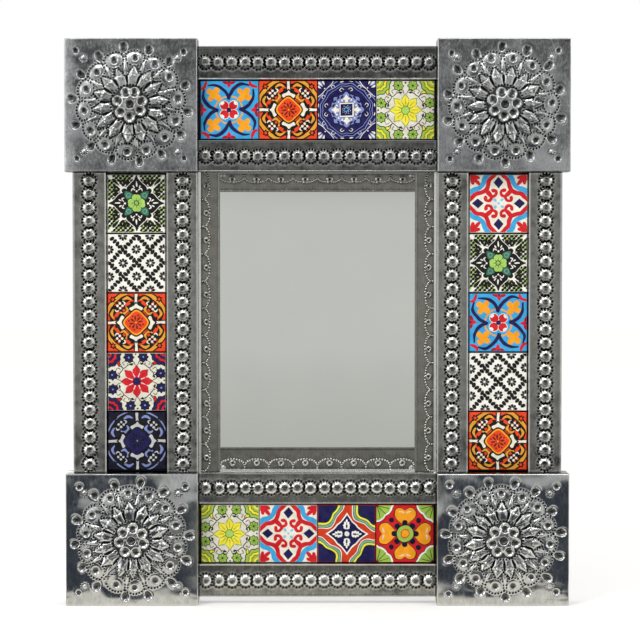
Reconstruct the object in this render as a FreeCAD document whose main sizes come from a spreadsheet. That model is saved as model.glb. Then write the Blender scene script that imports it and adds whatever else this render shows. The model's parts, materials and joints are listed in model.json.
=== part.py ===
import FreeCAD, Part
import Sketcher
import math
import os

# Tin wall mirror with square corner boxes, rails of glazed tiles and a recessed glass.
# Millimetres. The wall is the plane Y = 0, the mirror faces -Y, and Z is up.
# A depth is measured from the wall towards the room.

doc = FreeCAD.newDocument("TinMirror")
sheet = doc.addObject("Spreadsheet::Sheet", "Sizes")

counts = {
    "row_tiles": 4,
    "column_tiles": 5,
    "flower_petals": 14,
    "centre_cups": 7,
}

sizes = {
    # sheet metal, boards and glass
    "tin": 0.5,
    "board_thick": 3.1,
    "board_lap": 9.0,
    "card_thick": 2.0,
    "card_gap": 0.5,
    "glass_thick": 3.0,
    "glass_side_gap": 1.4,
    "glass_end_gap": 3.0,
    # glazed tiles and the rails that hold them
    "tile_side": 50.0,
    "tile_thick": 6.0,
    "tile_round": 0.9,
    "tile_sunk": 1.0,
    "row_tile_gap": 0.6,
    "row_end_gap": 2.1,
    "column_tile_gap": 1.4,
    "column_end_gap": 2.2,
    "slot_gap": 1.5,
    "packing_gap": 0.5,
    "inner_strip": 27.0,
    "outer_strip": 28.5,
    "rail_front": 16.5,
    # pressed daisies along the rails
    "daisy_radius": 3.85,
    "daisy_rise": 1.3,
    "row_daisy_pitch": 11.4,
    "column_daisy_pitch": 11.7,
    # corner boxes
    "corner_side": 114.0,
    "corner_depth": 30.0,
    "corner_back_sunk": 2.5,
    # pressed flower on each corner box
    "flower_margin": 4.5,
    "flower_rise": 4.5,
    "centre_radius": 15.5,
    "centre_rise": 3.0,
    "drop_inset": 4.9,
    "drop_radius": 4.2,
    "drop_depth": 1.3,
    "boss_inset": 11.9,
    "boss_radius": 3.4,
    "boss_depth": 1.1,
    "petal_inset": 26.3,
    "petal_half_length": 9.8,
    "petal_half_width": 3.1,
    "petal_rise": 1.7,
    "cup_inset": 5.1,
    "cup_radius": 3.5,
    "cup_depth": 1.1,
    "stud_inset": 11.0,
    "stud_radius": 2.4,
    "stud_depth": 0.9,
    # strips that hold the glass
    "side_strip": 18.5,
    "top_strip": 17.0,
    "bottom_strip": 21.0,
    "strip_flange": 4.4,
    "strip_lip": 1.3,
    "ring_radius": 2.3,
    "ring_rise": 0.8,
    "row_ring_pitch": 21.0,
    "column_ring_pitch": 23.6,
    # solder and glue
    "solder_radius": 2.4,
    "solder_rise": 0.9,
    "bead_radius": 2.0,
    "bead_length": 14.0,
    "glue_radius": 2.4,
    "glue_length": 30.0,
    # hanging loop behind the top rail
    "hanger_rise": 68.0,
    "strap_thick": 0.5,
    "strap_width": 12.0,
    "strap_tail": 14.0,
    "wire_radius": 0.95,
    "wire_gap": 0.08,
    "loop_half_width": 10.95,
    "loop_corner": 3.0,
    "loop_leg": 6.0,
}

for row, (alias, value) in enumerate({**counts, **sizes}.items(), start=1):
    sheet.set(f"A{row}", alias)
    sheet.set(f"B{row}", str(value))
    sheet.setAlias(f"B{row}", alias)
doc.recompute()

# Lengths that follow from the sizes above
ROW = (
    "(Sizes.row_tiles * Sizes.tile_side + (Sizes.row_tiles - 1) * Sizes.row_tile_gap"
    " + 2 * Sizes.row_end_gap)"
)
COLUMN = (
    "(Sizes.column_tiles * Sizes.tile_side + (Sizes.column_tiles - 1) * Sizes.column_tile_gap"
    " + 2 * Sizes.column_end_gap)"
)
SLOT = "(Sizes.tile_side + 2 * Sizes.slot_gap)"
RAIL = f"(Sizes.inner_strip + {SLOT} + Sizes.outer_strip)"
FLOOR = "(Sizes.board_thick + Sizes.tin)"
TILE_FRONT = "(Sizes.rail_front - Sizes.tile_sunk)"
TILE_BACK = f"({TILE_FRONT} - Sizes.tile_thick)"
GLASS_BACK = "(Sizes.board_thick + Sizes.card_thick)"
GLASS_FRONT = f"({GLASS_BACK} + Sizes.glass_thick)"
STRIP_FRONT = f"({GLASS_FRONT} + Sizes.tin)"
EYE_BORE = "(Sizes.wire_radius + Sizes.wire_gap)"
EYE_RADIUS = f"({EYE_BORE} + Sizes.strap_thick)"
PIVOT_DEPTH = f"(Sizes.board_thick - {EYE_RADIUS})"
PIVOT_HEIGHT = f"({COLUMN} / 2 + Sizes.hanger_rise)"

# Each rail is drawn as the top one: X along it, Z out from the opening. It is then turned
# clockwise about Y and moved to its side of the opening.
SIDES = {
    "top": (0, "0", f"{COLUMN} / 2", ROW),
    "right": (90, f"{ROW} / 2", "0", COLUMN),
    "bottom": (180, "0", f"-{COLUMN} / 2", ROW),
    "left": (270, f"-{ROW} / 2", "0", COLUMN),
}
CORNERS = {
    "top_left": (-1, 1),
    "top_right": (1, 1),
    "bottom_left": (-1, -1),
    "bottom_right": (1, -1),
}


def worked_out(text):
    return float(sheet.evalExpression(text))


def bind(thing, **formulas):
    for name, formula in formulas.items():
        thing.setExpression(name.replace("__", "."), formula)


def place(thing, x="0", y="0", z="0", turn=0, axis=(0, 1, 0)):
    turned = FreeCAD.Rotation(FreeCAD.Vector(*axis), turn)
    thing.Placement = FreeCAD.Placement(FreeCAD.Vector(), turned)
    bind(thing, Placement__Base__x=x, Placement__Base__y=y, Placement__Base__z=z)


def new_body(name, **where):
    body = doc.addObject("PartDesign::Body", name)
    body.Label = name
    place(body, **where)
    return body


def origin_part(body, role):
    return next(item for item in body.Origin.OriginFeatures if item.Role == role)


def new_sketch(body, name, plane, x="0", y="0", z="0", tilt=None, tilt_from="0"):
    """tilt leans the sketch outwards, about an axis that lies tilt_from round from Z."""
    sketch = body.newObject("Sketcher::SketchObject", name)
    sketch.AttachmentSupport = [(origin_part(body, plane), "")]
    sketch.MapMode = "FlatFace"
    round_to = math.radians(worked_out(tilt_from))
    axis = FreeCAD.Vector(-math.sin(round_to), 0, math.cos(round_to))
    sketch.AttachmentOffset = FreeCAD.Placement(FreeCAD.Vector(), FreeCAD.Rotation(axis, 0))
    bind(sketch, AttachmentOffset__Base__x=x, AttachmentOffset__Base__y=y)
    bind(sketch, AttachmentOffset__Base__z=z)
    if tilt:
        bind(sketch, AttachmentOffset__Rotation__Angle=tilt)
    return sketch


def draw_outline(sketch, corners, arcs=None):
    """Joins the corners in turn. arcs gives an edge its radius and the side of its centre:
    1 to the left of the way round, -1 to the right."""
    arcs = arcs or {}
    spots = [FreeCAD.Vector(worked_out(x), worked_out(y), 0) for x, y in corners]
    first, last = [], []
    for edge, start in enumerate(spots):
        end = spots[(edge + 1) % len(spots)]
        if edge in arcs:
            formula, side, *long_way = arcs[edge]
            radius = worked_out(formula)
            across = end - start
            middle = (start + end) * 0.5
            rise = math.sqrt(max(radius**2 - across.Length**2 / 4, 0.0))
            if long_way:
                rise = -rise
            left = FreeCAD.Vector(-across.y, across.x, 0).normalize()
            centre = middle + left * (rise * side)
            angles = [math.atan2(p.y - centre.y, p.x - centre.x) for p in (start, end)]
            if side < 0:
                angles.reverse()
            if angles[1] < angles[0]:
                angles[1] += 2 * math.pi
            circle = Part.Circle(centre, FreeCAD.Vector(0, 0, 1), radius)
            sketch.addGeometry(Part.ArcOfCircle(circle, *angles))
            sketch.addConstraint(Sketcher.Constraint("Radius", edge, radius))
            sketch.setExpression(f"Constraints[{sketch.ConstraintCount - 1}]", formula)
            first.append(1 if side > 0 else 2)
            last.append(2 if side > 0 else 1)
        else:
            sketch.addGeometry(Part.LineSegment(start, end))
            first.append(1)
            last.append(2)
    for edge, (x, y) in enumerate(corners):
        before = edge - 1 if edge else len(corners) - 1
        joint = Sketcher.Constraint("Coincident", before, last[before], edge, first[edge])
        sketch.addConstraint(joint)
        for kind, formula in (("DistanceX", x), ("DistanceY", y)):
            spot = worked_out(formula)
            sketch.addConstraint(Sketcher.Constraint(kind, edge, first[edge], spot))
            sketch.setExpression(f"Constraints[{sketch.ConstraintCount - 1}]", formula)


def rectangle(x0, y0, x1, y1):
    return [(x0, y0), (x1, y0), (x1, y1), (x0, y1)]


def swept(body, kind, name, sketch, length, side="One side", reverse=False):
    feature = body.newObject(kind, name)
    feature.Profile = sketch
    feature.SideType = side
    feature.Reversed = reverse
    feature.Refine = False
    bind(feature, Length=length)
    doc.recompute()
    return feature


def turned(body, kind, name, sketch, axis):
    feature = body.newObject(kind, name)
    feature.Profile = sketch
    feature.ReferenceAxis = (sketch, [axis])
    feature.Angle = 360
    feature.Refine = False
    doc.recompute()
    return feature


def polar(body, name, feature, occurrences):
    pattern = body.newObject("PartDesign::PolarPattern", name)
    pattern.Originals = [feature]
    pattern.Axis = (origin_part(body, "Y_Axis"), [""])
    pattern.Angle = 360
    pattern.Refine = False
    bind(pattern, Occurrences=occurrences)
    body.Tip = pattern
    doc.recompute()


def linear(body, name, feature, pitch, occurrences):
    if occurrences < 2:
        return
    pattern = body.newObject("PartDesign::LinearPattern", name)
    pattern.Originals = [feature]
    pattern.Direction = (origin_part(body, "X_Axis"), [""])
    pattern.Occurrences = occurrences
    pattern.Refine = False
    bind(pattern, Length=f"{pitch} * {occurrences - 1}")
    body.Tip = pattern
    doc.recompute()


def cap_radius(base, rise):
    return f"(({base} ^ 2 + {rise} ^ 2) / (2 * {rise}))"


def cap_outline(base, rise, skirt=None):
    """Half of a spherical cap, on a short plug if it has a skirt, to be turned upright."""
    corners = [("0", "0"), (base, "0"), ("0", rise)]
    arcs = {1: (cap_radius(base, rise), 1)}
    if skirt:
        corners = [("0", f"-({skirt})"), (base, f"-({skirt})")] + corners[1:]
        arcs = {2: arcs[1]}
    return corners, arcs


def barrel_outline(half_length, half_width, rise):
    """Half of a long rounded form, to be turned about its own long axis."""
    sunk = f"({cap_radius(half_width, rise)} - {rise})"
    corners = [
        (f"-({half_length})", "0"),
        (half_length, "0"),
        (half_length, sunk),
        (f"-({half_length})", sunk),
    ]
    return corners, {2: (cap_radius(half_length, rise), 1)}, sunk


# Glass and what backs it


def flat_piece(name, width, height, back, front):
    body = new_body(name, y=f"-{back}")
    sketch = new_sketch(body, f"{name}_outline", "XZ_Plane")
    sides = rectangle(f"-{width} / 2", f"-{height} / 2", f"{width} / 2", f"{height} / 2")
    draw_outline(sketch, sides)
    swept(body, "PartDesign::Pad", f"{name}_sheet", sketch, f"{front} - {back}")


def backing_board():
    """A sheet that laps onto the four rails, with its corners cut away for the boxes."""
    body = new_body("backing_board")
    sketch = new_sketch(body, "backing_board_outline", "XZ_Plane")
    wide = [f"({ROW} / 2 - Sizes.card_gap)", f"({ROW} / 2 + Sizes.board_lap)"]
    high = [f"({COLUMN} / 2 - Sizes.card_gap)", f"({COLUMN} / 2 + Sizes.board_lap)"]
    outline = []
    for across, up in ((1, 1), (-1, 1), (-1, -1), (1, -1)):
        notch = [
            (f"{across} * {wide[1]}", f"{up} * {high[0]}"),
            (f"{across} * {wide[0]}", f"{up} * {high[0]}"),
            (f"{across} * {wide[0]}", f"{up} * {high[1]}"),
        ]
        outline += notch if across == up else notch[::-1]
    draw_outline(sketch, outline)
    swept(body, "PartDesign::Pad", "backing_board_sheet", sketch, "Sizes.board_thick")


def glass_and_backing():
    backing_board()
    gap = "2 * Sizes.card_gap"
    card = (f"({ROW} - {gap})", f"({COLUMN} - {gap})")
    flat_piece("backing_card", *card, "Sizes.board_thick", GLASS_BACK)
    glass = (f"({ROW} - 2 * Sizes.glass_side_gap)", f"({COLUMN} - 2 * Sizes.glass_end_gap)")
    flat_piece("mirror_glass", *glass, GLASS_BACK, GLASS_FRONT)


# Rails: two folded strips over a flat back, with packing and tiles between them


def folded_strip(side, part, near, far, near_foot, far_foot, pitch):
    name = f"{side}_rail_{part}_strip"
    turn, x, z, length = SIDES[side]
    body = new_body(name, x=x, z=z, turn=turn)
    front = "Sizes.rail_front"
    section = new_sketch(body, f"{name}_section", "YZ_Plane")
    draw_outline(section, [
        (f"-{near_foot}", near),
        (f"-{front}", near),
        (f"-{front}", far),
        (f"-{far_foot}", far),
        (f"-{far_foot}", f"{far} - Sizes.tin"),
        (f"-({front} - Sizes.tin)", f"{far} - Sizes.tin"),
        (f"-({front} - Sizes.tin)", f"{near} + Sizes.tin"),
        (f"-{near_foot}", f"{near} + Sizes.tin"),
    ])
    swept(body, "PartDesign::Pad", f"{name}_fold", section, length, side="Symmetric")
    occurrences = int(worked_out(f"{length} / {pitch}"))
    start = f"-{pitch} * {occurrences - 1} / 2"
    middle = f"({near} + {far}) / 2"
    pressed = {
        "dome": ("PartDesign::Revolution", "Sizes.daisy_radius", "Sizes.rail_front"),
        "dish": (
            "PartDesign::Groove",
            "(Sizes.daisy_radius - Sizes.tin)",
            "(Sizes.rail_front - Sizes.tin)",
        ),
    }
    for word, (kind, base, level) in pressed.items():
        sketch = new_sketch(body, f"{name}_{word}_section", "XY_Plane", start, f"-{level}", middle)
        corners, arcs = cap_outline(base, "Sizes.daisy_rise", "Sizes.tin")
        down = [(across, f"-({up})") for across, up in corners]
        draw_outline(sketch, down, {edge: (radius, -way) for edge, (radius, way) in arcs.items()})
        feature = turned(body, kind, f"{name}_{word}", sketch, "V_Axis")
        linear(body, f"{name}_{word}_row", feature, pitch, occurrences)


def rail(side):
    turn, x, z, length = SIDES[side]
    where = {"x": x, "z": z, "turn": turn}
    pitch = "Sizes.row_daisy_pitch" if length == ROW else "Sizes.column_daisy_pitch"
    slot_start = "Sizes.inner_strip"
    slot_end = f"({slot_start} + {SLOT})"
    back = "Sizes.board_thick"
    folded_strip(side, "inner", "0", slot_start, back, FLOOR, pitch)
    folded_strip(side, "outer", slot_end, RAIL, FLOOR, back, pitch)

    name = f"{side}_rail_back"
    body = new_body(name, **where)
    section = new_sketch(body, f"{name}_section", "YZ_Plane")
    sides = rectangle(f"-{FLOOR}", "Sizes.tin", f"-{back}", f"{RAIL} - Sizes.tin")
    draw_outline(section, sides)
    swept(body, "PartDesign::Pad", f"{name}_sheet", section, length, side="Symmetric")

    name = f"{side}_tile_packing"
    body = new_body(name, **where)
    section = new_sketch(body, f"{name}_section", "YZ_Plane")
    low = f"{slot_start} + Sizes.packing_gap"
    high = f"{slot_end} - Sizes.packing_gap"
    draw_outline(section, rectangle(f"-{TILE_BACK}", low, f"-{FLOOR}", high))
    pack_length = f"{length} - 2 * Sizes.packing_gap"
    swept(body, "PartDesign::Pad", f"{name}_board", section, pack_length, side="Symmetric")


def tile(name, x, z):
    body = new_body(name, x=x, y=f"-{TILE_BACK}", z=z)
    sketch = new_sketch(body, f"{name}_outline", "XZ_Plane")
    half = "Sizes.tile_side / 2"
    draw_outline(sketch, rectangle(f"-{half}", f"-{half}", half, half))
    slab = swept(body, "PartDesign::Pad", f"{name}_slab", sketch, "Sizes.tile_thick")
    front = min(range(len(slab.Shape.Faces)), key=lambda i: slab.Shape.Faces[i].CenterOfMass.y)
    rounded = body.newObject("PartDesign::Fillet", f"{name}_rounded_edge")
    rounded.Base = (slab, [f"Face{front + 1}"])
    bind(rounded, Radius="Sizes.tile_round")
    doc.recompute()


def tiles():
    along_row = "(Sizes.tile_side + Sizes.row_tile_gap)"
    along_column = "(Sizes.tile_side + Sizes.column_tile_gap)"
    from_opening = f"(Sizes.inner_strip + {SLOT} / 2)"
    for number in range(1, counts["row_tiles"] + 1):
        x = f"({number} - (Sizes.row_tiles + 1) / 2) * {along_row}"
        tile(f"tile_top_{number}", x, f"{COLUMN} / 2 + {from_opening}")
        tile(f"tile_bottom_{number}", x, f"-({COLUMN} / 2 + {from_opening})")
    for number in range(1, counts["column_tiles"] + 1):
        z = f"((Sizes.column_tiles + 1) / 2 - {number}) * {along_column}"
        tile(f"tile_left_{number}", f"-({ROW} / 2 + {from_opening})", z)
        tile(f"tile_right_{number}", f"{ROW} / 2 + {from_opening}", z)


# Corner boxes: a folded box pressed with a flower, and a plate that closes its back. The sheet
# follows the flower's swell, its raised centre and its dents. The petals are solid.

FLOWER_RADIUS = "(Sizes.corner_side / 2 - Sizes.flower_margin)"
FLOWER_CURVE = cap_radius(FLOWER_RADIUS, "Sizes.flower_rise")
CENTRE_CURVE = cap_radius("Sizes.centre_radius", "Sizes.centre_rise")
DROP_PLACE = f"({FLOWER_RADIUS} - Sizes.drop_inset)"
BOSS_PLACE = f"({FLOWER_RADIUS} - Sizes.boss_inset)"
PETAL_PLACE = f"({FLOWER_RADIUS} - Sizes.petal_inset)"
CUP_PLACE = "(Sizes.centre_radius - Sizes.cup_inset)"
STUD_PLACE = "(sqrt(2) * (Sizes.corner_side / 2 - Sizes.stud_inset))"


def flower_level(radius):
    """Height of the flower's swell over the box's face at this radius."""
    return f"(Sizes.flower_rise - {FLOWER_CURVE} + sqrt({FLOWER_CURVE} ^ 2 - {radius} ^ 2))"


def centre_level(radius):
    """Height of the flower's raised centre over the box's face at this radius."""
    foot = flower_level("Sizes.centre_radius")
    drop = f"{CENTRE_CURVE} - sqrt({CENTRE_CURVE} ^ 2 - {radius} ^ 2)"
    return f"({foot} + Sizes.centre_rise - ({drop}))"


def slope(radius, curve):
    return f"asin({radius} / {curve})"


# Each form of the flower: its sizes, place out from the centre, level, lean, number of copies,
# and how far round its first copy stands
RAISED = {
    "swell": ((FLOWER_RADIUS, "Sizes.flower_rise"), "0", "0", None, "1", "0"),
    "centre": (
        ("Sizes.centre_radius", "Sizes.centre_rise"), "0", flower_level("Sizes.centre_radius"),
        None, "1", "0",
    ),
    "petal": (
        ("Sizes.petal_half_length", "Sizes.petal_half_width", "Sizes.petal_rise"), PETAL_PLACE,
        flower_level(PETAL_PLACE), slope(PETAL_PLACE, FLOWER_CURVE), "Sizes.flower_petals", "0",
    ),
}
DENTED = {
    "drop": (
        ("Sizes.drop_radius", "Sizes.drop_depth"), DROP_PLACE, flower_level(DROP_PLACE),
        slope(DROP_PLACE, FLOWER_CURVE), "Sizes.flower_petals", "(180 / Sizes.flower_petals)",
    ),
    "boss": (
        ("Sizes.boss_radius", "Sizes.boss_depth"), BOSS_PLACE, flower_level(BOSS_PLACE),
        slope(BOSS_PLACE, FLOWER_CURVE), "Sizes.flower_petals", "0",
    ),
    "cup": (
        ("Sizes.cup_radius", "Sizes.cup_depth"), CUP_PLACE, centre_level(CUP_PLACE),
        slope(CUP_PLACE, CENTRE_CURVE), "Sizes.centre_cups", "0",
    ),
    "middle_cup": (
        ("Sizes.cup_radius", "Sizes.cup_depth"), "0", centre_level("0"), None, "1", "0",
    ),
    "stud": (("Sizes.stud_radius", "Sizes.stud_depth"), STUD_PLACE, "0", None, "4", "45"),
}


def press(body, name, form, kind, shape, sunk="0", back=False, axis="V_Axis"):
    """Turns one outline about its axis on the box's face, and repeats it round the flower.
    shape is the outline with its arcs, sunk lowers its foot, and back faces it inwards."""
    _, out, level, lean, repeats, round_from = form
    depth = f"-(Sizes.corner_depth + {level} - {sunk})"
    name = f"{body.Label}_{name}"
    spot = (f"{out} * cos({round_from})", depth, f"{out} * sin({round_from})")
    sketch = new_sketch(body, f"{name}_section", "XY_Plane", *spot, lean, round_from)
    outline, arcs = shape
    if not back:
        outline = [(along, f"-({up})") for along, up in outline]
        arcs = {edge: (radius, -way) for edge, (radius, way) in arcs.items()}
    draw_outline(sketch, outline, arcs)
    feature = turned(body, f"PartDesign::{kind}", name, sketch, axis)
    if repeats != "1":
        polar(body, f"{name}_ring", feature, repeats)


def raise_form(body, word):
    form = RAISED[word]
    lengths = form[0]
    if word == "petal":
        outline, arcs, sunk = barrel_outline(*lengths)
        press(body, f"raised_{word}", form, "Revolution", (outline, arcs), sunk, axis="H_Axis")
    else:
        shape = cap_outline(*lengths, lengths[1])
        press(body, f"raised_{word}", form, "Revolution", shape)


def hollow_form(body, word):
    """Hollows out a raised form from behind by the same curve, one thickness of tin lower."""
    form = RAISED[word]
    base, rise = form[0]
    shape = cap_outline(base, rise, rise)
    press(body, f"hollow_{word}", form, "Groove", shape, "Sizes.tin")


def dent_form(body, word):
    """A dent in the sheet: its back stands out behind before its front is cut."""
    form = DENTED[word]
    base, depth = form[0]
    half = "Sizes.tin / 2"
    backing = cap_outline(f"({base} + Sizes.tin)", f"({depth} + {half})")
    press(body, f"backing_{word}", form, "Revolution", backing, half, back=True)
    press(body, f"dent_{word}", form, "Groove", cap_outline(base, depth, depth), back=True)


def corner_place(corner):
    across, up = CORNERS[corner]
    x = f"{across} * ({ROW} + Sizes.corner_side) / 2"
    z = f"{up} * ({COLUMN} + Sizes.corner_side) / 2"
    return {"x": x, "z": z}


def first_corner_box(corner):
    name = f"corner_box_{corner}"
    body = new_body(name, **corner_place(corner))
    outside = new_sketch(body, f"{name}_outside", "XZ_Plane")
    half = "Sizes.corner_side / 2"
    draw_outline(outside, rectangle(f"-{half}", f"-{half}", half, half))
    swept(body, "PartDesign::Pad", f"{name}_block", outside, "Sizes.corner_depth")
    for word in RAISED:
        raise_form(body, word)
    inside = new_sketch(body, f"{name}_inside", "XZ_Plane")
    half = "(Sizes.corner_side / 2 - Sizes.tin)"
    draw_outline(inside, rectangle(f"-{half}", f"-{half}", half, half))
    depth = "Sizes.corner_depth - Sizes.tin"
    swept(body, "PartDesign::Pocket", f"{name}_cavity", inside, depth, reverse=True)
    for word in ("swell", "centre"):
        hollow_form(body, word)
    for word in DENTED:
        dent_form(body, word)
    return body


def like_corner_box(corner, pattern):
    """Another box from the same press, in its own corner."""
    body = new_body(f"corner_box_{corner}", **corner_place(corner))
    clone = doc.addObject("PartDesign::FeatureBase", f"{body.Label}_clone")
    clone.BaseFeature = pattern.Tip
    clone.Placement = pattern.Tip.Placement
    body.Group = [clone]
    body.Tip = clone


def corner_back(corner):
    body = new_body(f"corner_back_{corner}", y="-Sizes.corner_back_sunk", **corner_place(corner))
    plate = new_sketch(body, f"{body.Label}_outline", "XZ_Plane")
    half = "(Sizes.corner_side / 2 - Sizes.tin)"
    draw_outline(plate, rectangle(f"-{half}", f"-{half}", half, half))
    swept(body, "PartDesign::Pad", f"{body.Label}_plate", plate, "Sizes.tin")


def corners():
    first, *others = CORNERS
    pattern = first_corner_box(first)
    for corner in others:
        like_corner_box(corner, pattern)
    for corner in CORNERS:
        corner_back(corner)


# Strips that hold the glass, each with a flange against the rail and rows of small rings


def mirror_strip(side):
    name = f"mirror_strip_{side}"
    turn, x, z, length = SIDES[side]
    width = "Sizes.side_strip"
    pitch = "Sizes.column_ring_pitch"
    if length == ROW:
        width = f"Sizes.{side}_strip"
        length = f"({ROW} - 2 * Sizes.side_strip)"
        pitch = "Sizes.row_ring_pitch"
    body = new_body(name, x=x, z=z, turn=turn)
    section = new_sketch(body, f"{name}_section", "YZ_Plane")
    front = STRIP_FRONT
    lip = f"({front} + Sizes.tin)"
    flange = f"({front} + Sizes.strip_flange)"
    draw_outline(section, [
        (f"-{GLASS_FRONT}", f"-{width}"),
        (f"-{lip}", f"-{width}"),
        (f"-{lip}", f"-({width} - Sizes.strip_lip)"),
        (f"-{front}", f"-({width} - Sizes.strip_lip)"),
        (f"-{front}", "-Sizes.tin"),
        (f"-{flange}", "-Sizes.tin"),
        (f"-{flange}", "0"),
        (f"-{GLASS_FRONT}", "0"),
    ])
    swept(body, "PartDesign::Pad", f"{name}_fold", section, length, side="Symmetric")
    occurrences = int(worked_out(f"{length} / {pitch}"))
    start = f"-{pitch} * {occurrences - 1} / 2"
    middle = f"-{width} / 2"
    sketch = new_sketch(body, f"{name}_ring_section", "XY_Plane", start, f"-{front}", middle)
    outline, arcs = cap_outline("Sizes.ring_radius", "Sizes.ring_rise", "Sizes.tin / 2")
    down = [(along, f"-({up_})") for along, up_ in outline]
    draw_outline(sketch, down, {edge: (radius, -way) for edge, (radius, way) in arcs.items()})
    ring = turned(body, "PartDesign::Revolution", f"{name}_ring", sketch, "V_Axis")
    linear(body, f"{name}_ring_row", ring, pitch, occurrences)


# Solder and glue


def quarter_bead(name, radius, length, first, second, **where):
    """A quarter-round bead in the angle between two faces. first and second point along the
    faces, and the bead runs along first x second from its place."""
    bead = doc.addObject("Part::Cylinder", name)
    bead.Angle = 90
    along = FreeCAD.Vector(*first).cross(FreeCAD.Vector(*second))
    lying = FreeCAD.Rotation(FreeCAD.Vector(*first), FreeCAD.Vector(*second), along, "XYZ")
    bead.Placement = FreeCAD.Placement(FreeCAD.Vector(), lying)
    bind(bead, Radius=f"Sizes.{radius}", Height=f"Sizes.{length}")
    bind(bead, **{f"Placement__Base__{way}": formula for way, formula in where.items()})
    return bead


def solder_drop(name, x, z):
    drop = doc.addObject("Part::Sphere", name)
    ball = cap_radius("Sizes.solder_radius", "Sizes.solder_rise")
    level = f"-({STRIP_FRONT} + Sizes.solder_rise - {ball})"
    place(drop, x=x, y=level, z=z, turn=90, axis=(1, 0, 0))
    bind(drop, Radius=ball, Angle1=f"asin(({ball} - Sizes.solder_rise) / {ball})")
    return drop


def group(name, pieces):
    together = doc.addObject("Part::Compound", name)
    together.Label = name
    together.Links = pieces
    return together


def solder_joints():
    """Drops where the strips meet on the face, and beads behind where rails meet boxes."""
    pieces = []
    rail_middle = f"{RAIL} / 2"
    behind = "-Sizes.board_thick"
    half_bead = "Sizes.bead_length / 2"
    for corner, (across, up) in CORNERS.items():
        seam = f"{across} * ({ROW} / 2 - Sizes.side_strip - Sizes.solder_radius)"
        level = f"{up} * ({COLUMN} / 2 - Sizes.tin - Sizes.solder_radius)"
        pieces.append(solder_drop(f"solder_drop_{corner}", seam, level))
        lie = ((0, 1, 0), (-1, 0, 0)) if across > 0 else ((1, 0, 0), (0, 1, 0))
        pieces.append(quarter_bead(
            f"solder_row_{corner}", "bead_radius", "bead_length", *lie,
            x=f"{across} * {ROW} / 2", y=behind,
            z=f"{up} * ({COLUMN} / 2 + {rail_middle}) - {half_bead}",
        ))
        lie = ((0, 1, 0), (0, 0, -1)) if up > 0 else ((0, 0, 1), (0, 1, 0))
        pieces.append(quarter_bead(
            f"solder_column_{corner}", "bead_radius", "bead_length", *lie,
            x=f"{across} * ({ROW} / 2 + {rail_middle}) + {half_bead}", y=behind,
            z=f"{up} * {COLUMN} / 2",
        ))
    return group("solder_joints", pieces)


def board_glue():
    """Beads along the edges of the backing board, where it lies on the backs of the rails."""
    pieces = []
    half_bead = "Sizes.glue_length / 2"
    behind = "-Sizes.board_thick"
    edge_x = f"({ROW} / 2 + Sizes.board_lap)"
    edge_z = f"({COLUMN} / 2 + Sizes.board_lap)"
    for way in (1, -1):
        side_lie = ((1, 0, 0), (0, 1, 0)) if way > 0 else ((0, 1, 0), (-1, 0, 0))
        level_lie = ((0, 1, 0), (0, 0, 1)) if way > 0 else ((0, 0, -1), (0, 1, 0))
        for part_way in (1, -1):
            word = f"{'far' if way > 0 else 'near'}_{'high' if part_way > 0 else 'low'}"
            pieces.append(quarter_bead(
                f"glue_side_{word}", "glue_radius", "glue_length", *side_lie,
                x=f"{way} * {edge_x}", y=behind, z=f"{part_way} * {COLUMN} / 4 - {half_bead}",
            ))
            pieces.append(quarter_bead(
                f"glue_level_{word}", "glue_radius", "glue_length", *level_lie,
                x=f"{part_way} * {ROW} / 4 - {half_bead}", y=behind, z=f"{way} * {edge_z}",
            ))
    return group("board_glue", pieces)


# Hanging loop: a strap soldered to the top rail's back, rolled into an eye, and a wire loop


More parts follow.
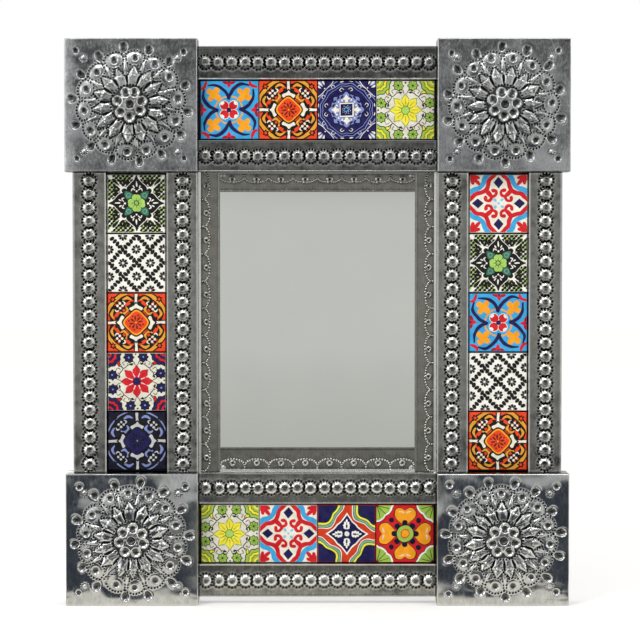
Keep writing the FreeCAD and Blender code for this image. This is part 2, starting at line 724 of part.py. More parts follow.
def hanger():
    strap = new_body("hanger_strap", y=f"-{PIVOT_DEPTH}", z=PIVOT_HEIGHT)
    section = new_sketch(strap, "hanger_strap_section", "YZ_Plane")
    outer, inner = EYE_RADIUS, EYE_BORE
    draw_outline(
        section,
        [
            (f"-{outer}", "-Sizes.strap_tail"),
            (f"-{inner}", "-Sizes.strap_tail"),
            (f"-{inner}", "0"),
            ("0", f"-{inner}"),
            ("0", f"-{outer}"),
            (f"-{outer}", "0"),
        ],
        {2: (inner, -1, "long"), 4: (outer, 1, "long")},
    )
    swept(strap, "PartDesign::Pad", "hanger_strap_fold", section, "Sizes.strap_width", side="Symmetric")

    # the loop: a straight bar in the eye, round corners, short legs and a half circle below
    wire = "Sizes.wire_radius"
    straight = "(Sizes.loop_half_width - Sizes.loop_corner)"
    leg_end = "(Sizes.loop_corner + Sizes.loop_leg)"
    y = f"-{PIVOT_DEPTH}"
    pieces = [doc.addObject("Part::Cylinder", "loop_bar")]
    place(pieces[0], x=f"-{straight}", y=y, z=PIVOT_HEIGHT, turn=90)
    bind(pieces[0], Radius=wire, Height=f"2 * {straight}")
    for side, across, turn in (("left", "-1", 90), ("right", "1", 0)):
        leg = doc.addObject("Part::Cylinder", f"loop_leg_{side}")
        leg_z = f"{PIVOT_HEIGHT} - {leg_end}"
        place(leg, x=f"{across} * Sizes.loop_half_width", y=y, z=leg_z)
        bind(leg, Radius=wire, Height="Sizes.loop_leg")
        bend = doc.addObject("Part::Torus", f"loop_bend_{side}")
        bend.Angle3 = 90
        spot = FreeCAD.Rotation(FreeCAD.Vector(1, 0, 0), 90)
        spin = FreeCAD.Rotation(FreeCAD.Vector(0, 0, 1), turn)
        bend.Placement = FreeCAD.Placement(FreeCAD.Vector(), spot * spin)
        bind(bend, Radius1="Sizes.loop_corner", Radius2=wire)
        bind(bend, Placement__Base__x=f"{across} * {straight}", Placement__Base__y=y)
        bind(bend, Placement__Base__z=f"{PIVOT_HEIGHT} - Sizes.loop_corner")
        pieces += [leg, bend]
    bow = doc.addObject("Part::Torus", "loop_bow")
    bow.Angle3 = 180
    place(bow, y=y, z=f"{PIVOT_HEIGHT} - {leg_end}", turn=-90, axis=(1, 0, 0))
    bind(bow, Radius1="Sizes.loop_half_width", Radius2=wire)
    ring = doc.addObject("Part::MultiFuse", "hanger_ring")
    ring.Label = "hanger_ring"
    ring.Shapes = pieces + [bow]
    ring.Refine = False


glass_and_backing()
for side in SIDES:
    rail(side)
    mirror_strip(side)
tiles()
corners()
solder_joints()
board_glue()
hanger()
doc.recompute()

# Nothing is written unless every object has worked out
for item in doc.Objects:
    if {"Invalid", "Error"} & set(item.State):
        raise RuntimeError(f"{item.Label} failed: {item.State}")
    if item.TypeId in ("PartDesign::Pocket", "PartDesign::Groove"):
        if item.Shape.Volume >= item.BaseFeature.Shape.Volume:
            raise RuntimeError(f"{item.Label} cuts nothing")

os.makedirs("parts", exist_ok=True)
finished = [item for item in doc.Objects if item.TypeId == "PartDesign::Body"]
finished += [doc.getObject(name) for name in ("hanger_ring", "solder_joints", "board_glue")]
for item in finished:
    if item.Shape.isNull() or not item.Shape.isValid():
        raise RuntimeError(f"{item.Label} has no valid shape")
    item.Shape.exportStep(f"parts/{item.Label}.step")
    print(item.Label, len(item.Shape.Solids), round(item.Shape.Volume, 1))
print(len(finished), "sub-parts")
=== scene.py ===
import bpy
import bmesh
import json
import math
import numpy as np
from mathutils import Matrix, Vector


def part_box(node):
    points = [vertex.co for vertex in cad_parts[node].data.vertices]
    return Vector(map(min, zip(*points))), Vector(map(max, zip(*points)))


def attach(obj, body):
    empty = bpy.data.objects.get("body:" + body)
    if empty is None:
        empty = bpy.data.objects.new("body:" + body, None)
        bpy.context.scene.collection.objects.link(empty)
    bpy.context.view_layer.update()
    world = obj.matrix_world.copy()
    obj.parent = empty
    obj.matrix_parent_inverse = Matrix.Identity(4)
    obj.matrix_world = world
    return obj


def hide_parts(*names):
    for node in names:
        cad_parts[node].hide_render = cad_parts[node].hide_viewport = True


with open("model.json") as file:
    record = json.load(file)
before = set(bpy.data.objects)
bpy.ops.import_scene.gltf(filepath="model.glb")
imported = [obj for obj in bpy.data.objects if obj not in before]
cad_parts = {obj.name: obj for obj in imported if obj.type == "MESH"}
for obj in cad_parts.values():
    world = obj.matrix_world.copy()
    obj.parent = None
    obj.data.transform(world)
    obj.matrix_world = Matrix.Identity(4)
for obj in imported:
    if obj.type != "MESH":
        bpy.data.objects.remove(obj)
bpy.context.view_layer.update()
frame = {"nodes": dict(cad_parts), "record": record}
nodes = frame["nodes"]
mm = 0.001
print("frame loaded:", len(nodes), "nodes")


def toLinear(hexCode):
    shares = [int(hexCode[i:i + 2], 16) / 255 for i in (1, 3, 5)]
    return [s / 12.92 if s <= 0.04045 else ((s + 0.055) / 1.055) ** 2.4 for s in shares] + [1.0]


def addNode(tree, kind, inputs=None, **settings):
    node = tree.nodes.new("ShaderNode" + kind)
    for name, value in settings.items():
        setattr(node, name, value)
    for name, value in (inputs or {}).items():
        if isinstance(value, bpy.types.NodeSocket):
            tree.links.new(value, node.inputs[name])
        else:
            node.inputs[name].default_value = toLinear(value) if isinstance(value, str) else value
    return node


def noise(tree, where, size, detail, roughness=0.5):
    # the size of its features is in mm
    inputs = {"Vector": where, "Scale": 1000 / size, "Detail": detail, "Roughness": roughness}
    return addNode(tree, "TexNoise", inputs).outputs["Fac"]


def ranged(tree, value, start, end, low=0.0, high=1.0, kind="LINEAR"):
    inputs = {"Value": value, "From Min": start, "From Max": end, "To Min": low, "To Max": high}
    return addNode(tree, "MapRange", inputs, interpolation_type=kind).outputs[0]


def smoothed(tree, value, start, end, low=0.0, high=1.0):
    return ranged(tree, value, start, end, low, high, "SMOOTHSTEP")


def reckon(tree, operation, *values):
    return addNode(tree, "Math", dict(enumerate(values)), operation=operation).outputs[0]


def mixed(tree, share, first, second):
    return addNode(tree, "Mix", {0: share, 6: first, 7: second}, data_type="RGBA").outputs[2]


def between(tree, share, first, second):
    return addNode(tree, "Mix", {0: share, 2: first, 3: second}, data_type="FLOAT").outputs[0]


def bumped(tree, height, depth, under=None):
    # relief of a depth in mm, over another one
    inputs = {"Height": height, "Strength": 1.0, "Distance": depth * mm}
    if under is not None:
        inputs["Normal"] = under
    return addNode(tree, "Bump", inputs).outputs[0]


def newMaterial(name):
    material = bpy.data.materials.new(name)
    material.use_nodes = True
    material.node_tree.nodes.clear()
    return material, material.node_tree, addNode(material.node_tree, "TexCoord").outputs["Object"]


def finishMaterial(tree, colour, roughness, normal, others):
    inputs = {"Base Color": colour, "Roughness": roughness, "Normal": normal, **others}
    addNode(tree, "OutputMaterial", {"Surface": addNode(tree, "BsdfPrincipled", inputs).outputs[0]})


def makeObject(name, bm, materials):
    mesh = bpy.data.meshes.new(name)
    bm.to_mesh(mesh)
    bm.free()
    for material in materials:
        mesh.materials.append(material)
    made = bpy.data.objects.new(name, mesh)
    bpy.context.scene.collection.objects.link(made)
    return made


# camera: straight on, a little above the middle
view = {
    "elevation": 2.0, "distance": 1.87, "pictureWidth": 0.5497, "sensorMm": 36,
    "aim": (0.0022, -0.03, 0.0027),
}

camera = bpy.data.cameras.new("camera")
camera.sensor_width = view["sensorMm"]
camera.lens = view["sensorMm"] * view["distance"] / view["pictureWidth"]
cameraObject = bpy.data.objects.new("camera", camera)
bpy.context.scene.collection.objects.link(cameraObject)
tilt = math.radians(view["elevation"])
cameraObject.location = Vector(view["aim"]) + Vector((0, -math.cos(tilt), math.sin(tilt))) * view["distance"]
cameraObject.rotation_euler = (math.pi / 2 - tilt, 0, 0)
bpy.context.scene.camera = cameraObject
bpy.context.scene.view_settings.view_transform = "Standard"


# studio: the world, two lamps and the floor
studio = {
    "worldLight": 0.78,
    # name, place, size, power
    "lamps": [
        ("keyLamp", (-1.1, -1.5, 1.3), 0.8, 15.0),
        ("fillLamp", (1.5, -1.2, 0.6), 1.2, 5.0),
    ],
    "floorLevel": -0.2442,
    "floorSize": 6.0,
    "floor": "#f4f3f1",
    "floorLift": 0.3,
    # what the metal and the glass see of the floor: a pale shelf with a wavy edge, beyond it a grey
    # patch with a dark one on each side, and pale floor round them
    "shelf": "#f2ede0",
    "shelfDepth": 0.275,
    "shelfEdge": 0.03,
    "shelfWave": 0.36,
    "shelfWaveMm": 42,
    "middleFloor": "#84847e",
    "darkFloor": "#454a51",
    "darkFrom": 0.09,
    "darkEdge": 0.02,
    "darkSplay": 0.053,
    "darkTo": 0.42,
    "sideFloor": "#dedacf",
    "sideEdge": 0.2,
    "farFloorFrom": (1.30, 1.46),
    "farFloor": ("#c4c4bf", "#d4d3d1"),
    "farFloorFade": (1.1, 4.6),
}

world = bpy.data.worlds.new("studioWorld")
bpy.context.scene.world = world
world.use_nodes = True
tree = world.node_tree
tree.nodes.clear()
path = addNode(tree, "LightPath")
light = addNode(tree, "Background", {"Color": (1, 1, 1, 1), "Strength": studio["worldLight"]})
seen = addNode(tree, "Background", {"Color": (1, 1, 1, 1), "Strength": 1.0})
either = addNode(tree, "MixShader", {
    0: path.outputs["Is Camera Ray"], 1: light.outputs[0], 2: seen.outputs[0]})
addNode(tree, "OutputWorld", {"Surface": either.outputs[0]})

for name, spot, size, power in studio["lamps"]:
    lamp = bpy.data.lights.new(name, "AREA")
    lamp.shape = "DISK"
    lamp.size = size
    lamp.energy = power
    lampObject = bpy.data.objects.new(name, lamp)
    lampObject.location = spot
    lampObject.rotation_euler = (Vector((0, 0, 0)) - Vector(spot)).to_track_quat("-Z", "Y").to_euler()
    # the metal reflects the room's own lights instead
    lampObject.visible_glossy = False
    bpy.context.scene.collection.objects.link(lampObject)

# floor: matt pale paper to the eye, and the shelf and the darker floor to the metal and the glass
material, tree, where = newMaterial("palePaperFloor")
path = addNode(tree, "LightPath")
split = addNode(tree, "SeparateXYZ", {0: where})
front = reckon(tree, "MULTIPLY", split.outputs["Y"], -1.0)
aside = reckon(tree, "ABSOLUTE", split.outputs["X"])
ripple = noise(tree, where, studio["shelfWaveMm"], 2.0)
edgeAt = reckon(tree, "MULTIPLY_ADD", ripple, studio["shelfWave"], front)
pastShelf = ranged(tree, edgeAt, studio["shelfDepth"], studio["shelfDepth"] + studio["shelfEdge"])
splayed = reckon(tree, "MULTIPLY_ADD", front, -studio["darkSplay"], aside)
inDark = ranged(
    tree, splayed, studio["darkFrom"] - studio["darkEdge"], studio["darkFrom"] + studio["darkEdge"])
pastSide = ranged(tree, aside, studio["darkTo"], studio["darkTo"] + studio["sideEdge"])
middle = mixed(tree, inDark, studio["middleFloor"], studio["darkFloor"])
sides = mixed(tree, pastSide, middle, studio["sideFloor"])
near = mixed(tree, pastShelf, studio["shelf"], sides)
distant = mixed(tree, ranged(tree, front, *studio["farFloorFade"]), *studio["farFloor"])
far = mixed(tree, ranged(tree, front, *studio["farFloorFrom"]), near, distant)
reflected = addNode(tree, "Emission", {"Color": far, "Strength": 1.0})
paper = addNode(tree, "BsdfDiffuse", {"Color": studio["floor"]})
lift = reckon(tree, "MULTIPLY", path.outputs["Is Camera Ray"], studio["floorLift"])
lifted = addNode(tree, "Emission", {"Color": (1, 1, 1, 1), "Strength": lift})
white = addNode(tree, "AddShader", {0: paper.outputs[0], 1: lifted.outputs[0]})
either = addNode(tree, "MixShader", {
    0: path.outputs["Is Glossy Ray"], 1: white.outputs[0], 2: reflected.outputs[0]})
addNode(tree, "OutputMaterial", {"Surface": either.outputs[0]})

bm = bmesh.new()
bmesh.ops.create_grid(bm, x_segments=1, y_segments=1, size=studio["floorSize"])
bmesh.ops.translate(bm, verts=bm.verts, vec=(0, 0, studio["floorLevel"]))
floor = makeObject("floor", bm, [material])

# room: a dome that only reflections see, grey at eye level behind the camera, darker above it,
# with lamps and soft boxes
room = {
    "radius": 8.0,
    "light": (1.0, 0.99, 0.965, 1.0),
    # the wall's brightness to the sides and straight ahead, at eye level and above it
    "wall": (0.60, 0.66),
    "above": (0.72, 0.10),
    "ceiling": 0.75,
    "below": 0.30,
    # things stand about in the room, so its light is patchy
    "clutter": 0.75,
    "clutterMm": 200,
    # direction (across, towards the camera, up), size in degrees, brightness
    "lights": [
        ((-0.30, 0.62, 0.80), 9, 6.5),
        ((0.12, 0.55, 0.86), 7, 7.0),
        ((-0.95, 0.35, 0.25), 22, 1.3),
        ((0.98, 0.20, 0.20), 16, 1.2),
        ((-0.35, -0.80, 0.45), 24, 1.6),
        ((0.55, -0.70, 0.40), 18, 1.2),
    ],
    "lightEdge": 0.72,
}

material, tree, where = newMaterial("studioRoom")
way = addNode(tree, "VectorMath", {0: where}, operation="NORMALIZE").outputs[0]
split = addNode(tree, "SeparateXYZ", {0: way})
wall = smoothed(tree, split.outputs["Y"], -0.35, -0.8, *room["wall"])
higher = smoothed(tree, split.outputs["Y"], -0.84, -0.98, *room["above"])
things = noise(tree, way, room["clutterMm"], 3.0, 0.6)
patchy = smoothed(tree, things, 0.36, 0.64, 1 - room["clutter"], 1 + room["clutter"])
cluttered = reckon(tree, "MULTIPLY", higher, patchy)
darker = between(tree, smoothed(tree, split.outputs["Z"], 0.022, 0.10), wall, cluttered)
topped = between(tree, smoothed(tree, split.outputs["Z"], 0.62, 0.95), darker, room["ceiling"])
total = between(tree, smoothed(tree, split.outputs["Z"], -0.15, -0.35), topped, room["below"])
for (across, ahead, up), size, brightness in room["lights"]:
    pointing = Vector((across, -ahead, up)).normalized()
    facing = addNode(tree, "VectorMath", {0: way, 1: pointing}, operation="DOT_PRODUCT").outputs["Value"]
    edge = math.cos(math.radians(size))
    inner = math.cos(math.radians(size * room["lightEdge"]))
    total = reckon(tree, "ADD", total, smoothed(tree, facing, edge, inner, 0.0, brightness))
glowing = addNode(tree, "Emission", {"Color": room["light"], "Strength": total})
addNode(tree, "OutputMaterial", {"Surface": glowing.outputs[0]})

bm = bmesh.new()
bmesh.ops.create_icosphere(bm, subdivisions=5, radius=room["radius"])
bmesh.ops.reverse_faces(bm, faces=bm.faces)
roomObject = makeObject("room", bm, [material])
for kind in ("camera", "diffuse", "transmission", "volume_scatter", "shadow"):
    setattr(roomObject, "visible_" + kind, False)
print("camera, lamps, floor and room set")


def makeTin(name, values):
    # tinplate, rolled steel dipped in tin: bright but soft, mottled by handling, with fine rolling streaks
    # and rub marks, and duller where it has been touched; its hollows also carry painted shade and its
    # crests painted highlight
    material, tree, where = newMaterial(name)
    stretched = addNode(tree, "Mapping", {"Vector": where, "Scale": (1.0, 1.0, values["streakStretch"])})
    streaks = noise(tree, stretched.outputs[0], values["streak"], 3.0, 0.65)
    blend = reckon(tree, "ADD", noise(tree, where, values["mottle"], 4.0, 0.6), streaks)
    colour = mixed(tree, ranged(tree, blend, 0.75, 1.25), values["dark"], values["light"])
    stained = ranged(tree, noise(tree, where, 28, 5.0, 0.7), 0.58, 0.78, 0.0, values["stained"])
    colour = mixed(tree, stained, colour, "#8a7c66")
    roughness = ranged(tree, blend, 0.75, 1.25, *values["roughness"])
    bump = bumped(tree, noise(tree, where, values["wave"], 1.0), values["waveHeight"])
    bump = bumped(tree, streaks, values["streakHeight"], bump)
    bump = bumped(tree, noise(tree, where, 0.9, 2.0), values["grainHeight"], bump)
    # the hollows of the pressed work are darkened, partly grime and partly painted shade, and its crests are
    # lightened, partly worn bright and partly painted highlight
    proud = addNode(tree, "Attribute", attribute_name="proud").outputs["Fac"]
    hollow = ranged(tree, proud, -0.03, -values["dirtAndShadeDepth"], 0.0, values["dirtAndShade"])
    crest = ranged(tree, proud, 0.03, 0.4, 0.0, values["rubbedHighlight"])
    # near black in the hollows, as grime and painted shade; near white on the crests, as wear and painted
    # highlight
    colour = mixed(tree, crest, mixed(tree, hollow, colour, "#1d1b19"), "#f0f1f1")
    finishMaterial(tree, colour, roughness, bump, {"Metallic": 1.0})
    return material


# the sizes and heights are in mm; each finish says where it differs from the rails'
railTin = {
    "dark": "#838481", "light": "#a9aaa6", "roughness": (0.14, 0.24), "mottle": 6.0, "streak": 2.0,
    "streakStretch": 0.4, "streakHeight": 0.003, "wave": 16.0, "waveHeight": 0.5, "grainHeight": 0.002,
    "stained": 0.45, "dirtAndShade": 0.9, "dirtAndShadeDepth": 0.4, "rubbedHighlight": 0.8,
}
tinFinishes = {
    "topBoxes": {
        "dark": "#9fa2a6", "light": "#cfd1d4", "roughness": (0.15, 0.28), "mottle": 11.0, "streak": 1.6,
        "streakStretch": 0.5, "wave": 34.0, "waveHeight": 1.2, "grainHeight": 0.003, "stained": 0.35,
        "rubbedHighlight": 0.4,
    },
    "bottomBoxes": {
        "dark": "#b4b8bb", "light": "#d6d8d9", "roughness": (0.05, 0.13), "mottle": 12.0, "streak": 2.4,
        "wave": 24.0, "waveHeight": 0.55, "streakHeight": 0.001, "grainHeight": 0.001, "stained": 0.2,
        "dirtAndShade": 0.85, "dirtAndShadeDepth": 0.35, "rubbedHighlight": 0.6,
    },
    "rails": {},
    # the top rail: the same tin as the rails, painted darker as painted shade, with less painted highlight
    # on its crests
    "shadedTopRail": {"dark": "#6f7170", "light": "#949593", "rubbedHighlight": 0.55},
    "mirrorStrips": {
        "dark": "#85857f", "light": "#a7a7a0", "roughness": (0.18, 0.30), "mottle": 9.0, "streak": 1.4,
        "streakStretch": 0.2, "wave": 14.0, "waveHeight": 0.3, "stained": 0.7, "dirtAndShade": 0.95,
        "dirtAndShadeDepth": 0.28, "rubbedHighlight": 0.9,
    },
    "behind": {
        "dark": "#9a9c9d", "light": "#b4b6b6", "roughness": (0.28, 0.46), "mottle": 26.0, "streak": 3.0,
        "streakStretch": 0.15, "wave": 30.0, "waveHeight": 0.4, "streakHeight": 0.01,
        "grainHeight": 0.01, "stained": 0.5, "dirtAndShade": 0.5, "rubbedHighlight": 0.3,
    },
}
tin = {name: makeTin("tinplate_" + name, {**railTin, **changes}) for name, changes in tinFinishes.items()}

# mirror glass: clear float glass silvered behind, a cool grey with the least waviness
mirrorGlass, tree, where = newMaterial("silveredFloatGlass")
haze = noise(tree, where, 45, 3.0)
finishMaterial(tree, mixed(tree, haze, "#dfe4e0", "#e6e8e4"), ranged(tree, haze, 0.0, 1.0, 0.015, 0.045),
               bumped(tree, noise(tree, where, 90, 1.0), 0.02), {"Metallic": 1.0})


def makeMatt(name, dark, light, grainMm, roughness, stretch=(1, 1, 1), metallic=0.0, depthMm=0.05):
    # card, board, glue, solder and wire: two tones in the grain of the stuff, and a soft relief
    material, tree, where = newMaterial(name)
    stretched = addNode(tree, "Mapping", {"Vector": where, "Scale": stretch}).outputs[0]
    grain = noise(tree, stretched, grainMm, 6.0, 0.65)
    colour = mixed(tree, ranged(tree, grain, 0.3, 0.7), dark, light)
    finishMaterial(tree, colour, ranged(tree, grain, 0.0, 1.0, *roughness), bumped(tree, grain, depthMm),
                   {"Metallic": metallic})
    return material


plain = {
    # grey-brown card with long fibres
    "card": makeMatt("brownCard", "#6f5a43", "#94785a", 0.8, (0.75, 0.95), (0.3, 1, 1)),
    # the same card under the tiles, painted near black as the shadow in the gaps round them
    "shadowCard": makeMatt("shadowCard", "#1c1814", "#332c24", 0.8, (0.75, 0.95), (0.3, 1, 1)),
    # pressed wood fibre, smooth and hard on its face
    "hardboard": makeMatt("pressedHardboard", "#4f3523", "#76543a", 1.6, (0.45, 0.7)),
    # hot-melt glue: waxy and yellowish
    "glue": makeMatt("hotMeltGlue", "#c9b98a", "#e2d6ad", 3.0, (0.25, 0.4)),
    # soft solder: bright where it flowed, dull at its edges
    "solder": makeMatt("softSolder", "#9fa1a2", "#d2d3d3", 1.2, (0.2, 0.5), metallic=1.0),
    # drawn steel wire
    "wire": makeMatt("drawnSteelWire", "#6d6e70", "#929394", 0.6, (0.2, 0.35), (1, 1, 0.2), 1.0, 0.01),
}

nodeMaterials = {
    "backing_board": plain["hardboard"], "backing_card": plain["card"], "mirror_glass": mirrorGlass,
    "hanger_strap": tin["behind"], "hanger_ring": plain["wire"], "solder_joints": plain["solder"],
    "board_glue": plain["glue"],
}
for name, node in nodes.items():
    # the packing shows in the gaps round the tiles, and its near-black card is their painted shadow
    if "packing" in name:
        chosen = plain["shadowCard"]
    elif name.startswith("corner_back") or name.endswith("rail_back"):
        chosen = tin["behind"]
    else:
        chosen = nodeMaterials.get(name, tin["rails"])
    node.data.materials.clear()
    node.data.materials.append(chosen)
print("metals, glass and backing materials made")



# pressed sheet: a grid takes its relief, and its edge is folded back and closed
def newSheet(low, high, cell):
    # heights in mm over the face, towards the room; spots on it are in mm from its centre
    width, height = (high.x - low.x) / mm, (high.z - low.z) / mm
    across, up = round(width / cell), round(height / cell)
    x, z = np.meshgrid(np.linspace(-width / 2, width / 2, across + 1),
                       np.linspace(-height / 2, height / 2, up + 1))
    return {
        # relief in mm, and a layer of painted shade from 0 to 1 that makes the tin darker where it is laid
        "x": x, "z": z, "relief": np.zeros_like(x), "paintedShade": np.zeros_like(x),
        "width": width, "height": height, "steps": (across, up),
        "middle": ((low.x + high.x) / 2, (low.z + high.z) / 2),
        # how far wear and painted shading look round themselves, and the heights where they stop and where
        # crests begin
        "wearAndShadingReach": 2.2, "wearAndShadingTop": 99.0, "crestFrom": 99.0,
    }


def spotAt(way, radius, x=0.0, z=0.0):
    return x + radius * math.cos(way), z + radius * math.sin(way)


def around(degrees, radius, x=0.0, z=0.0):
    return spotAt(math.radians(degrees), radius, x, z)


def turned(along, beside, way):
    c, s = math.cos(way), math.sin(way)
    return along * c - beside * s, along * s + beside * c


def inLine(dx, dz, way):
    # the same offset as its parts along and beside a direction
    c, s = math.cos(way), math.sin(way)
    return dx * c + dz * s, dz * c - dx * s


def stamp(sheet, x, z, reach, form, layer="relief"):
    # adds form(across, up) within reach of a spot
    spans = []
    across, up = sheet["steps"]
    for place, size, steps in ((z, sheet["height"], up), (x, sheet["width"], across)):
        start = max(int((place - reach + size / 2) / size * steps), 0)
        end = min(int((place + reach + size / 2) / size * steps) + 2, steps + 1)
        spans.append(slice(start, max(end, start)))
    spot = tuple(spans)
    sheet[layer][spot] += form(sheet["x"][spot] - x, sheet["z"][spot] - z)


def bowl(r, power=2):
    return np.clip(1 - r ** power, 0, None)


def pit(sheet, x, z, radius, depth, lip=0.15):
    # a round punch mark with a soft raised lip
    def form(dx, dz):
        r = np.hypot(dx, dz) / radius
        return -depth * bowl(r) + lip * depth * np.exp(-((r - 1.15) / 0.3) ** 2)
    stamp(sheet, x, z, radius * 2, form)


def oval(sheet, x, z, halfLength, halfWidth, depth, turn, point=0.0):
    # a long punch mark, narrower towards its far end where point is above 0
    def form(dx, dz):
        along, beside = inLine(dx, dz, turn)
        along = along / halfLength
        beside = beside / halfWidth
        r = np.sqrt(along ** 2 + (beside / np.clip(1 - point * along, 0.2, None)) ** 2)
        return -depth * bowl(r) + 0.05 * depth * np.exp(-((r - 1.12) / 0.2) ** 2)
    stamp(sheet, x, z, halfLength * 1.8, form)


def dots(sheet, spots, radius, depth):
    for x, z in spots:
        pit(sheet, x, z, radius, depth, 0.12)


def alongLine(start, end, pitch):
    count = max(int(math.dist(start, end) / pitch), 1)
    return [(start[0] + (end[0] - start[0]) * i / count, start[1] + (end[1] - start[1]) * i / count)
            for i in range(count + 1)]


def alongArc(centre, radius, start, end, pitch):
    count = max(int(abs(end - start) * radius / pitch), 1)
    return [spotAt(start + (end - start) * i / count, radius, *centre) for i in range(count + 1)]


def roundEdges(sheet, fold):
    # the fold at the edges of the face
    inset = np.minimum(sheet["width"] / 2 - np.abs(sheet["x"]), sheet["height"] / 2 - np.abs(sheet["z"]))
    short = np.clip(fold - inset, 0, fold)
    sheet["relief"] += np.sqrt(fold ** 2 - short ** 2) - fold


def finishPiece(bm, name, materials, body, slotName, replaced):
    for face in bm.faces:
        face.smooth = True
    for edge in bm.edges:
        if len(edge.link_faces) == 2 and edge.calc_face_angle() > math.radians(50):
            edge.smooth = False
    piece = makeObject(name, bm, materials)
    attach(piece, body)
    if replaced:
        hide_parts(*replaced)
    return piece


def proudOf(sheet, reach):
    # how far each spot stands out from what is round it, in mm; this drives grime with painted shade in the
    # hollows and wear with painted highlight on the crests
    cells = max(int(reach / (sheet["width"] / sheet["steps"][0])), 1)
    share = np.ones(2 * cells + 1) / (2 * cells + 1)
    relief = np.minimum(sheet["relief"], sheet["wearAndShadingTop"])
    level = np.pad(relief, cells, mode="edge")
    for axis in (0, 1):
        level = np.apply_along_axis(lambda line: np.convolve(line, share, "valid"), axis, level)
    wearAndShading = np.maximum(relief - level, (sheet["relief"] - sheet["crestFrom"]) / 2)
    # spots under the painted-shade layer are set low, so they come out darker
    return wearAndShading * (1 - sheet["paintedShade"]) - 0.12 * sheet["paintedShade"]


def pressedPiece(name, sheet, face, back, material, slotName, replaced, rim=None):
    across, up = sheet["steps"]
    bm = bmesh.new()
    proud = proudOf(sheet, sheet["wearAndShadingReach"])
    layer = bm.verts.layers.float.new("proud")
    bmesh.ops.create_grid(bm, x_segments=across, y_segments=up, size=1.0)
    centreX, centreZ = sheet["middle"]
    for vert in bm.verts:
        column = round((vert.co.x + 1) / 2 * across)
        row = round((vert.co.y + 1) / 2 * up)
        vert.co = (centreX + sheet["x"][row, column] * mm, face - sheet["relief"][row, column] * mm,
                   centreZ + sheet["z"][row, column] * mm)
        vert[layer] = proud[row, column]
    edges = [edge for edge in bm.edges if edge.is_boundary]
    made = bmesh.ops.extrude_edge_only(bm, edges=edges)["geom"]
    for vert in made:
        if isinstance(vert, bmesh.types.BMVert):
            vert.co.y = back
    outline = [edge for edge in made if isinstance(edge, bmesh.types.BMEdge) and edge.is_boundary]
    cap = bmesh.ops.edgeloop_fill(bm, edges=outline)["faces"]
    if rim:
        wall, recess = rim
        bmesh.ops.inset_region(bm, faces=cap, thickness=wall * mm, depth=0)
        bmesh.ops.inset_region(bm, faces=cap, thickness=0.02 * mm, depth=-recess * mm)
    bmesh.ops.recalc_face_normals(bm, faces=bm.faces)
    return finishPiece(bm, name, [material], "frame", slotName, replaced)


# corner boxes with their pressed flowers
cornerBox = {
    "depth": 30.0, "cell": 0.38, "fold": 0.7, "rim": (0.5, 3.2), "bend": 2.0, "bendReach": 12.5,
    "buckle": 0.2, "buckles": 7, "buckleWay": 0.09, "swellRadius": 48.0, "swellRise": 4.2,
    "petalPlace": 25.0, "petalHalfLength": 9.4, "petalHalfWidth": 5.0, "petalRise": 2.7,
    "petalDots": (0.0, 0.22, 0.44, 0.66, 0.88),
    "nubRise": 0.6, "nubRadius": 1.1, "nubApart": 1.2, "nubReach": 1.2,
    "gapPlace": 21.5, "gapHalfLength": 5.0, "gapHalfWidth": 1.1, "gapDepth": 1.6,
    "middlePetalPlace": 27.5, "middlePetalTip": 37.0, "middlePetalHalfLength": 11.5,
    "middlePetalHalfWidth": 5.0, "middlePetalRise": 0.9, "middlePetalReach": 12.0,
    "bossPlace": 40.4, "bossRadius": 3.6, "bossDepth": 1.7,
    "scallopCentre": 35.8, "scallopRadius": 11.0, "scallopHalfAngle": 0.84, "roundPetalRadius": 9.6,
    "roundPetalRise": 1.0,
    "dropPlace": 49.4, "dropHalfLength": 4.9, "dropHalfWidth": 3.6, "dropDepth": 2.1,
    "dropDots": (39.0, 41.4), "dropDotsApart": 1.3, "zigzagFoot": 33.0, "zigzagSpread": 0.42,
    "centreRadius": 11.5, "centreRise": 4.2, "cups": 7, "cupPlace": 10.6, "cupRim": 5.3, "cupRadius": 3.9,
    "cupDepth": 2.2, "hemPitch": 2.6,
    "dotRadius": 0.95, "dotDepth": 1.35, "dotPitch": 2.55,
    "studInset": 11.0, "studRadius": 2.7, "studDepth": 1.5,
    "starInset": 16.8, "starRays": 11, "starRadius": 3.0, "ray": (1.15, 0.5, 0.45), "knobRadius": 1.9,
    "knobRise": 0.75, "knobReach": 2.0,
    # each flower's turn in degrees, petals and finish, the side it bends back to, and its seed
    "flowers": {
        "top_left": (7.0, 14, "topBoxes", -1, 1), "top_right": (2.0, 14, "topBoxes", 0, 2),
        "bottom_left": (17.0, 14, "bottomBoxes", 0, 3), "bottom_right": (19.0, 15, "bottomBoxes", 0, 4),
    },
}


